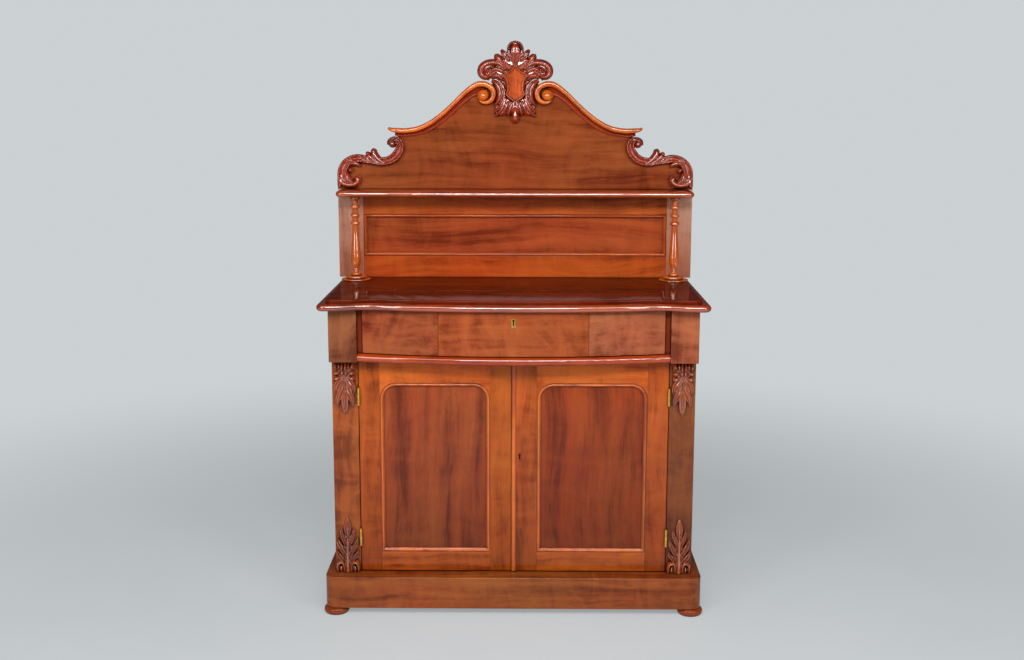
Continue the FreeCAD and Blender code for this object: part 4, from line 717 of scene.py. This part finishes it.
LOWER_RIDGES = (      # (across, up, half width, rise), one side of the stem
    ((0, 0, 27, 9), (0, 26, 20, 10), (0, 50, 15, 10), (0, 80, 12, 9), (0, 104, 9, 8), (0, 128, 6, 5)),
    ((0, 0, 9.5, 20), (0, 24, 8, 22), (0, 60, 6, 20), (0, 98, 4, 16), (0, 120, 2.4, 11)),
    ((29.5, 0, 3.6, 17), (30, 15, 4.4, 21), (25, 28, 5.0, 24), (15, 29, 5.0, 24), (10.5, 18, 4.0, 22),
     (9.5, 1, 3.6, 18)),
    ((20, 0, 5.0, 12), (20, 9, 5.5, 14), (20, 17, 3.0, 11)),
)
LOWER_LOBES = (
    ((5, 26, 4, 14), (12, 36, 5.4, 19), (20, 46, 6.0, 21), (27, 55, 4.6, 18), (30, 63, 1.6, 12)),
    ((5, 46, 4, 14), (12, 60, 6.0, 19), (19.5, 75, 6.6, 20), (26, 88, 4.8, 16), (29, 99, 1.4, 11)),
    ((4, 76, 3.6, 13), (8.5, 90, 5.2, 16), (14, 105, 5.2, 16), (17.5, 118, 3.8, 13), (17, 129, 1.4, 9)),
    ((1.8, 104, 3.6, 11), (3.2, 118, 5.4, 13), (3.6, 133, 5.8, 12), (2.4, 146, 3.8, 9), (0.2, 157, 1.2, 6)),
)
UPPER_RIDGES = (      # (across, down, half width, rise)
    ((0, 0, 30, 15), (0, 10, 31, 20), (0, 24, 30, 22), (0, 34, 29, 18), (0, 52, 28, 14), (0, 84, 24, 10),
     (0, 108, 17, 8), (0, 136, 8, 5)),
    ((4.8, 0, 5.0, 21), (4.9, 7, 5.4, 26), (4.9, 14, 5.6, 30.5), (4.8, 21, 5.2, 34), (4.2, 28, 4, 32),
     (3.6, 35, 2.4, 21)),
    ((14.0, 0, 4.8, 20), (14.0, 7, 5.2, 25), (13.6, 14, 5.2, 29.5), (13, 21, 4.2, 31), (12, 27, 2.4, 24)),
    ((23.6, 0, 6, 20), (24, 7, 7.2, 25), (24, 14, 7.6, 30), (23, 20, 6.4, 32), (21, 26, 4.6, 24)),
    ((4.8, 30, 5.0, 22), (5.4, 38, 6.2, 26), (4.8, 46, 4.6, 20)),
    ((12, 34, 4.4, 20), (18.5, 36.5, 7.4, 27), (24.5, 36.5, 7.4, 27), (29, 35, 4, 20)),
    ((11, 49, 4.4, 19), (18, 52, 7.4, 25), (24.5, 53, 7.4, 25), (29.5, 52, 4, 18)),
    ((0, 44, 4, 18), (0, 70, 3.6, 17), (0, 100, 3, 15), (0.4, 128, 2.6, 13.5), (0.4, 150, 1.4, 8)),
)
UPPER_LOBES = (
    ((6, 54, 6, 15), (14, 63, 9.6, 17), (21, 75, 10, 16), (24.5, 88, 7, 13), (21, 99, 2.4, 8)),
    ((5, 78, 6, 12), (11, 93, 9.6, 14), (17.5, 109, 9.4, 13), (21.5, 122, 6, 10), (21, 134, 1.8, 6)),
    ((0.5, 94, 6, 12), (1, 112, 9, 13.5), (1, 131, 9, 12), (0.6, 147, 6.4, 9), (0.2, 159, 1.6, 5)),
)


def leaves(name, node, ridges, lobes, root, way):
    """Two leaves, one each side: root is the stem's height and way is +1 up or -1 down."""
    bm = bmesh.new()
    for section, runs in ((DOME, ridges), (HOLLOW, lobes)):
        for side in (-1, 1):
            for points in runs:
                laid = [(LEAF_MIDDLE + side * across, root + way * up, half, rise)
                        for across, up, half, rise in points]
                strand(bm, laid, DOOR_FACE, section)
    mirrored(bm)
    carved(name, bm, node, LEAF_VOXEL)


leaves("lower_leaves_carved", "lower_leaves", LOWER_RIDGES, LOWER_LOBES, PLINTH_TOP, 1)
leaves("upper_leaves_carved", "upper_leaves", UPPER_RIDGES, UPPER_LOBES, RAIL_UNDER, -1)

# %% [markdown]
# ## The side scrolls
# At each end of the gallery an S-scroll rises off the shelf and runs into a C-scroll under the arch.
# The bands are hollowed, a tuft of leaf springs up where they meet, and balls sit in the curls.

# %% Side scrolls
GALLERY_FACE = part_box("gallery_board")[0].y
C_BAND = ((381, 1312, 2.4, 12), (379.5, 1322, 4, 17), (372, 1329.5, 5, 20), (361, 1331, 6.4, 21),
          (351, 1326, 8.5, 22), (345, 1315, 11, 22), (345.5, 1303, 13, 22), (351.5, 1289, 14, 22),
          (364, 1275, 13.5, 22), (381, 1266, 12.5, 22), (401, 1263, 12, 22), (421, 1265, 11, 21),
          (441, 1270.5, 9.5, 19), (456, 1275, 6, 15))
S_BAND = ((424, 1259, 5, 13), (446, 1267.5, 10, 20), (467, 1272.5, 11.5, 22), (486, 1270.5, 12, 22),
          (503, 1261, 13.5, 22), (514, 1247, 14.5, 22), (519, 1231, 15, 22), (519, 1214, 15, 22),
          (513, 1202, 12, 20), (503, 1196, 8, 17))
TUFT = (
    ((390, 1257, 6, 18), (406, 1266, 9, 23), (418, 1278, 10.5, 26), (424, 1290, 10, 25),
     (420, 1299, 7.6, 20)),
    ((408, 1257, 6, 18), (426, 1268, 8, 22), (437, 1280, 8, 22), (442, 1289, 5.5, 17)),
    ((430, 1260, 6, 16), (444, 1270, 6.5, 19), (452, 1278, 5, 15)),
)
CURLS = (
    ((526, 1214, 8, 18), (521, 1202, 9.6, 21), (508, 1194.5, 10.4, 23), (492, 1193, 10.6, 25),
     (478, 1198, 10.8, 26), (472, 1208, 10.8, 26), (477, 1215, 9, 24)),
    ((506, 1234, 5, 15), (504, 1217, 6.5, 20), (500, 1207, 7.5, 23), (493, 1207, 7, 22), (490, 1213, 4, 16)),
    ((527, 1230, 8, 15), (529, 1208, 7, 14), (529, 1187, 7, 13)),
    ((507, 1260, 10, 16), (495, 1259, 10.5, 20), (482, 1258, 9, 20), (471, 1254, 7, 17), (464, 1247, 3, 12)),
)
BALLS = ((367.5, 1315.5, 12.4, 23), (424, 1292, 9.8, 25), (443, 1286, 6.5, 19), (494, 1237, 8.6, 20))
bm = bmesh.new()
for points in (C_BAND, S_BAND):
    strand(bm, points, GALLERY_FACE, HOLLOW)
for points in (*TUFT, *CURLS):
    strand(bm, points, GALLERY_FACE)
for measures in BALLS:
    ball(bm, *measures, GALLERY_FACE)
mirrored(bm)
carved("side_scrolls_carved", bm, "side_scrolls", SCROLL_VOXEL)

# %% [markdown]
# ## The crest
# The crest is a cartouche: a plain shield in a frame of leaves and C-scrolls, under a small hooded shell.
# The leaves are strands again.  The shield is modelled apart, so that its bevelled rim and the ridge
# down its middle stay crisp.

# %% Crest
CREST_CORE = (0.36, 0.92)          # share of the sawn block's height and of its outline
CREST_RIDGES = (
    # the beds of the leaves
    ((20, 1446, 14, 19), (30, 1428, 20, 20), (40, 1412, 17, 18), (48, 1403, 8, 14)),
    ((0, 1440, 16, 19), (0, 1416, 17, 20), (0, 1398, 12, 17)),
    ((62, 1498, 9, 18), (48, 1480, 17, 20), (44, 1458, 18, 20), (50, 1434, 13, 17)),
    ((26, 1512, 10, 18), (46, 1522, 15, 20), (64, 1520, 12, 19), (74, 1514, 5, 14)),
    ((0, 1540, 26, 19), (20, 1552, 20, 20), (36, 1560, 14, 18)),
    # the hooded shell
    ((21.5, 1580, 3.0, 24), (22, 1590, 3.2, 28), (20, 1602, 3.4, 30), (12, 1611.5, 3.6, 31),
     (0, 1615, 3.8, 32)),
    ((0, 1570, 19, 19), (0, 1590, 21, 21), (0, 1604, 18.5, 22), (0, 1614, 11, 22)),
    ((0, 1548, 14, 18), (0, 1565, 18, 24), (0, 1582, 20, 28), (0, 1598, 18.5, 28), (0, 1607, 13, 23)),
    ((0, 1543, 3.6, 21), (0, 1562, 4.8, 27), (0, 1580, 5.6, 31), (0, 1594, 5.2, 30), (0, 1603, 3, 24)),
    ((4.6, 1544, 3.4, 20), (7.6, 1562, 4.6, 25), (10.4, 1580, 5.2, 29), (10.6, 1593, 4.6, 28),
     (9, 1601, 2.6, 22)),
    ((10, 1552, 3.6, 18), (14, 1566, 4.4, 22), (17.6, 1580, 4.4, 25), (18, 1591, 3.6, 23)),
    # the scrolled leaves over the shield and beside it
    ((12, 1542, 7, 16), (20, 1552, 8, 20), (30, 1560, 8, 21), (38, 1565, 5, 16)),
    ((28, 1544, 7, 18), (40, 1555, 10, 26), (50, 1566, 12.4, 30), (54, 1574, 10, 27), (55, 1580, 6, 19)),
    ((66, 1543, 5, 18), (77, 1543, 7.4, 23), (86, 1537.5, 7.4, 24), (90, 1530, 5.4, 20), (88, 1524, 2.6, 14)),
    ((30, 1520, 6, 20), (42, 1531, 9, 26), (56, 1536, 9.6, 27), (67, 1531, 7.6, 24), (72, 1523, 4, 16)),
    ((38, 1506, 7, 20), (51, 1516, 9, 26), (63, 1515.5, 8, 24), (71, 1507, 4, 15)),
    ((70, 1502, 5, 16), (59, 1496, 9, 23), (50, 1484, 10.4, 27), (46, 1468, 10.4, 27), (47, 1452, 9.8, 26),
     (53, 1438, 8, 21), (62, 1428, 3, 13)),
    ((47, 1499, 5, 18), (37, 1487, 7, 22), (32.5, 1470, 7.2, 23), (33, 1452, 8, 24), (39, 1436, 8, 24),
     (49, 1422, 6.5, 19), (61, 1409, 2.5, 12)),
    # the leaves that hang under it
    ((28, 1450, 7, 22), (34, 1432, 8.4, 26), (43, 1415, 8, 24), (53, 1403, 5.4, 18), (62, 1396, 2, 10)),
    ((20, 1441, 7, 22), (26, 1427, 7.8, 26), (31.5, 1413, 6.8, 22), (36, 1401, 2.2, 11)),
    ((10, 1436, 7, 21), (15, 1421, 7.2, 24), (19, 1408, 6.2, 20), (21, 1397, 2.2, 11)),
    ((1, 1426, 6, 20), (1, 1410, 8.4, 25), (1.4, 1397, 10.4, 27), (1.4, 1387, 11, 25), (1.4, 1378.5, 6, 16)),
)
CREST_LOBES = (
    ((10, 1556, 6, 18), (22, 1568, 9, 24), (32, 1579, 9, 24), (39, 1588, 6, 18), (42, 1592, 3, 12)),
)
CREST_BAND = ((28, 1534, 7, 20), (41, 1547, 9.4, 26), (56, 1553.5, 10.4, 30), (73, 1554, 11, 31.5),
              (88, 1549.5, 11.4, 32), (99, 1539.5, 11.6, 32), (102, 1526, 11, 31), (96, 1515.5, 10, 30),
              (85, 1512, 8.6, 28), (76.5, 1516, 6.4, 23), (73, 1522, 3.6, 16))
bm = bmesh.new()
for section, runs in ((DOME, CREST_RIDGES), (HOLLOW, CREST_LOBES)):
    for points in runs:
        strand(bm, points, GALLERY_FACE, section)
strand(bm, CREST_BAND, GALLERY_FACE)
mirrored(bm)
core(bm, "crest", GALLERY_FACE, *CREST_CORE)
carved("crest_carved", bm, "crest", CREST_VOXEL)

# %% [markdown]
# The shield starts as its outline, raised to a block.  One inset after another gives the flat rim, the
# step inside it and the bevel, and pulling the ends of the middle line forward makes the ridge.

# %% Shield
SHIELD_OUTLINE = ((0, 1547), (9, 1536), (21, 1526), (35.5, 1519.5), (30, 1509), (25, 1497), (23.2, 1485),
                  (23.5, 1473), (29, 1461), (18, 1450), (8.5, 1444), (0, 1438))
SHIELD_BACK, SHIELD_RIM, SHIELD_RIDGE = 15 * MM, 29.0 * MM, 32.6 * MM
SHIELD_STEPS = ((3.2, 1.3), (0.7, -2.4), (0.7, 0.0), (3.0, 2.4))       # inwards and forwards, in millimetres
bm = bmesh.new()
left_half = [(-x, z) for x, z in reversed(SHIELD_OUTLINE[1:-1])]
rim = [bm.verts.new((x * MM, GALLERY_FACE - SHIELD_BACK, z * MM)) for x, z in (*SHIELD_OUTLINE, *left_half)]
plate = bm.faces.new(rim)
plate = bmesh.ops.extrude_discrete_faces(bm, faces=[plate])["faces"][0]
bmesh.ops.translate(bm, vec=(0, SHIELD_BACK - SHIELD_RIM, 0), verts=plate.verts)
for inset, out in SHIELD_STEPS:
    bmesh.ops.inset_individual(bm, faces=[plate], thickness=inset * MM, depth=0)
    bmesh.ops.translate(bm, vec=(0, -out * MM, 0), verts=plate.verts)
top, low = max(plate.verts, key=lambda v: v.co.z), min(plate.verts, key=lambda v: v.co.z)
bmesh.ops.connect_verts(bm, verts=[top, low])
for vert in (top, low):
    vert.co.y = GALLERY_FACE - SHIELD_RIDGE
finished("crest_shield", bm, "crest", sharp=12, material=shield_polish, stands_for=False)

# %% [markdown]
# ## The arch
# A round moulding climbs from each side, meets the crest and curls into a volute round a button.  Under
# it runs a flat cove that throws the dark line on the board.

# %% Arch mouldings
NOSE = [(1, 0), (1, 0.55), (0.92, 0.78), (0.72, 0.92), (0.4, 0.99), (0, 1.0), (-0.4, 0.99), (-0.72, 0.92),
        (-0.92, 0.78), (-1, 0.55), (-1, 0)]
COVE = [(1, 0), (1, 0.42), (0.8, 0.46), (0.5, 0.36), (0.1, 0.34), (-0.35, 0.45), (-0.7, 0.68), (-0.9, 1.0),
        (-1, 1.0), (-1, 0)]
ARCH = ((380, 1362, 3, 14), (370, 1357.5, 5.5, 19), (352, 1354.8, 7.2, 22), (324, 1354.5, 7.6, 22),
        (287, 1361.5, 7.4, 22), (250, 1379.5, 7.0, 22), (213, 1407, 6.6, 22), (183, 1434.5, 6.4, 22),
        (153, 1463.5, 6.8, 22), (123, 1486, 7.8, 22), (101, 1492.5, 8.4, 22), (80, 1487.5, 8.2, 22),
        (67, 1475, 8, 22), (64.5, 1459, 7.6, 22), (71, 1445.5, 7, 22), (83, 1438.6, 6.4, 21),
        (96, 1438.4, 5, 19), (107, 1443.5, 2.5, 15))
UNDER_ARCH = ((360, 1345, 5, 9), (340, 1341.5, 5.5, 9), (302, 1345.5, 5.6, 9), (266, 1356, 6.2, 9),
              (230, 1378.5, 7.4, 9), (192, 1409, 7.6, 9), (163, 1436.5, 7.8, 9), (132, 1461, 9, 9),
              (108, 1470, 12, 9), (92, 1462, 12, 9))
ARCH_STEPS = 7
BUTTON = (95.5, 1457.5, 18.6, 24)
bm = bmesh.new()
sweep(bm, NOSE, along(through(ARCH, ARCH_STEPS), GALLERY_FACE))
ball(bm, *BUTTON, GALLERY_FACE)
mirrored(bm)
finished("arch_mouldings_run", bm, "arch_mouldings", sharp=40)
bm = bmesh.new()
sweep(bm, COVE, along(through(UNDER_ARCH, ARCH_STEPS), GALLERY_FACE))
mirrored(bm)
finished("arch_coves", bm, "arch_mouldings", sharp=40, material=cove_polish, stands_for=False)

# %% [markdown]
# ## Mouldings round the panels
# Each panel is held by a run of bead, with a fine quirk cut down each side of it and a small ovolo that
# drops to the panel.  The quirks are what draw the two dark lines beside the bright bead.  The runs meet
# in mitres, so a corner station leans its section half-way between the two directions.

# %% Panel mouldings
PANEL_DROP = -8.0          # the panel's face behind the frame's, in millimetres
BEAD_RUN = [(0, PANEL_DROP), (0, 0.3), (0.7, 0.3), (1.1, -1.4), (1.5, -1.4), *half_round(4.8, -0.9, 3.3),
            (8.2, -3.0), (8.6, -3.2), (9.4, -3.9), (10.1, -5.2), (10.5, -7.0), (10.5, PANEL_DROP)]
DOOR_CORNER, CORNER_STEPS = 46, 12         # radius of the upper corners of a door's opening
PANEL_RUNS = (      # moulding, corner radius, and the node whose face it sits in
    ("door_panel_moulding_left", DOOR_CORNER, "door_rails_left"),
    ("door_panel_moulding_right", DOOR_CORNER, "door_rails_right"),
    ("gallery_panel_moulding", 0, "gallery_rails"),
)


def opening(low, high, corner):
    """The opening's outline, anticlockwise from its lower left corner, with rounded upper corners."""
    left, right, foot, head = low.x / MM, high.x / MM, low.z / MM, high.z / MM
    points = [(left, foot), (right, foot)]
    if not corner:
        return points + [(right, head), (left, head)]
    for middle, start in ((right - corner, 0), (left + corner, 90)):
        for step in range(CORNER_STEPS + 1):
            turn = math.radians(start + 90 * step / CORNER_STEPS)
            points.append((middle + corner * math.cos(turn), head - corner + corner * math.sin(turn)))
    return points


for node, corner, face_node in PANEL_RUNS:
    bm = bmesh.new()
    outline = opening(*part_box(node), corner)
    sweep(bm, BEAD_RUN, around(outline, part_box(face_node)[0].y))
    finished(f"{node}_run", bm, node, sharp=35)

# %% [markdown]
# ## Studio
# The floor is one pale sheet that fades, a few steps away from the piece, into an air of the same tone, so
# that no horizon shows from any side.  Four soft boxes light the polish: their long reflections draw the
# round edges.

# %% Floor and backdrop
HAZE = (0.60, 0.635, 0.65, 1.0)
HAZE_FROM, HAZE_TO = 0.9, 3.4          # metres from the piece
HAZE_NEAR = 0.50                       # share of the haze on the floor under the piece
FLOOR_SIZE = 40
CLOUDS = (1.5, 1.5, 4.0)
PAINT_DARK, PAINT_LIGHT = colour(214, 219, 221), colour(221, 225, 227)
ROOM_COLOUR = (0.92, 0.96, 1.0, 1.0)
ROOM_LIGHT = 0.12                      # strength of the plain light from all round
HAZE_MIRRORED = 0.09                   # share of the haze that the polish mirrors


def seen_share(tree):
    """1 for what the camera or glass sees, less for what a gloss mirrors, and 0 for plain light."""
    rays = add(tree, "LightPath").outputs
    mirrored_share = math_node(tree, "MULTIPLY", rays["Is Glossy Ray"], HAZE_MIRRORED)
    seen = math_node(tree, "MAXIMUM", rays["Is Camera Ray"], mirrored_share)
    return math_node(tree, "MAXIMUM", seen, rays["Is Transmission Ray"])


bm = bmesh.new()
bmesh.ops.create_grid(bm, x_segments=8, y_segments=8, size=FLOOR_SIZE)
mesh = bpy.data.meshes.new("studio_floor")
bm.to_mesh(mesh)
bm.free()
studio = bpy.data.objects.new("studio_floor", mesh)
scene.collection.objects.link(studio)
floor_paint, tree, shader = principled("studio_paint")
place = add(tree, "TexCoord").outputs["Object"]
paint = ramp(tree, pattern(tree, place, *CLOUDS), [(0.35, PAINT_DARK), (0.65, PAINT_LIGHT)])
tree.links.new(paint, shader.inputs["Base Color"])
shader.inputs["Roughness"].default_value = 0.75
away = add(tree, "VectorMath", {0: place}, operation="LENGTH").outputs["Value"]
fade = add(tree, "MapRange", {0: away, 1: HAZE_FROM, 2: HAZE_TO, 3: HAZE_NEAR},
           interpolation_type="SMOOTHSTEP")
glow = add(tree, "Emission", {"Color": HAZE, "Strength": 1.0})
values = {0: math_node(tree, "MULTIPLY", seen_share(tree), fade.outputs["Result"]), 1: shader.outputs[0],
          2: glow.outputs[0]}
mixed = add(tree, "MixShader", values)
tree.links.new(mixed.outputs[0], tree.nodes["Material Output"].inputs["Surface"])
mesh.materials.append(floor_paint)
print("studio floor ready")

# %% Lights
SOFT_BOXES = (      # name, place, height on the piece that it is aimed at, width, height, watts
    ("soft_box_left", (-2.2, -2.9, 1.9), 1.0, 1.1, 1.8, 36),
    ("soft_box_right", (2.2, -2.9, 1.9), 1.0, 1.1, 1.8, 34),
    ("soft_box_top", (0.0, -2.2, 2.3), 0.9, 3.0, 0.8, 36),
    ("soft_box_front", (0.0, -3.4, 2.5), 0.9, 1.8, 0.5, 50),
)
for name, place, aim, width, height, power in SOFT_BOXES:
    data = bpy.data.lights.new(name, "AREA")
    data.shape = "RECTANGLE"
    data.size = width
    data.size_y = height
    data.energy = power
    lamp = bpy.data.objects.new(name, data)
    lamp.location = place
    lamp.rotation_euler = (Vector((0, 0, aim)) - Vector(place)).to_track_quat("-Z", "Y").to_euler()
    scene.collection.objects.link(lamp)

world = bpy.data.worlds.new("studio_air")
world.use_nodes = True
scene.world = world
tree = world.node_tree
room = tree.nodes["Background"]
room.inputs["Color"].default_value = ROOM_COLOUR
plain = math_node(tree, "SUBTRACT", 1.0, add(tree, "LightPath").outputs["Is Glossy Ray"])
tree.links.new(math_node(tree, "MULTIPLY", plain, ROOM_LIGHT), room.inputs["Strength"])
haze = add(tree, "Background", {"Color": HAZE, "Strength": 1.0})
mixed = add(tree, "MixShader", {0: seen_share(tree), 1: room.outputs[0], 2: haze.outputs[0]})
tree.links.new(mixed.outputs[0], tree.nodes["World Output"].inputs["Surface"])
print(len(SOFT_BOXES), "soft boxes and the room's light")
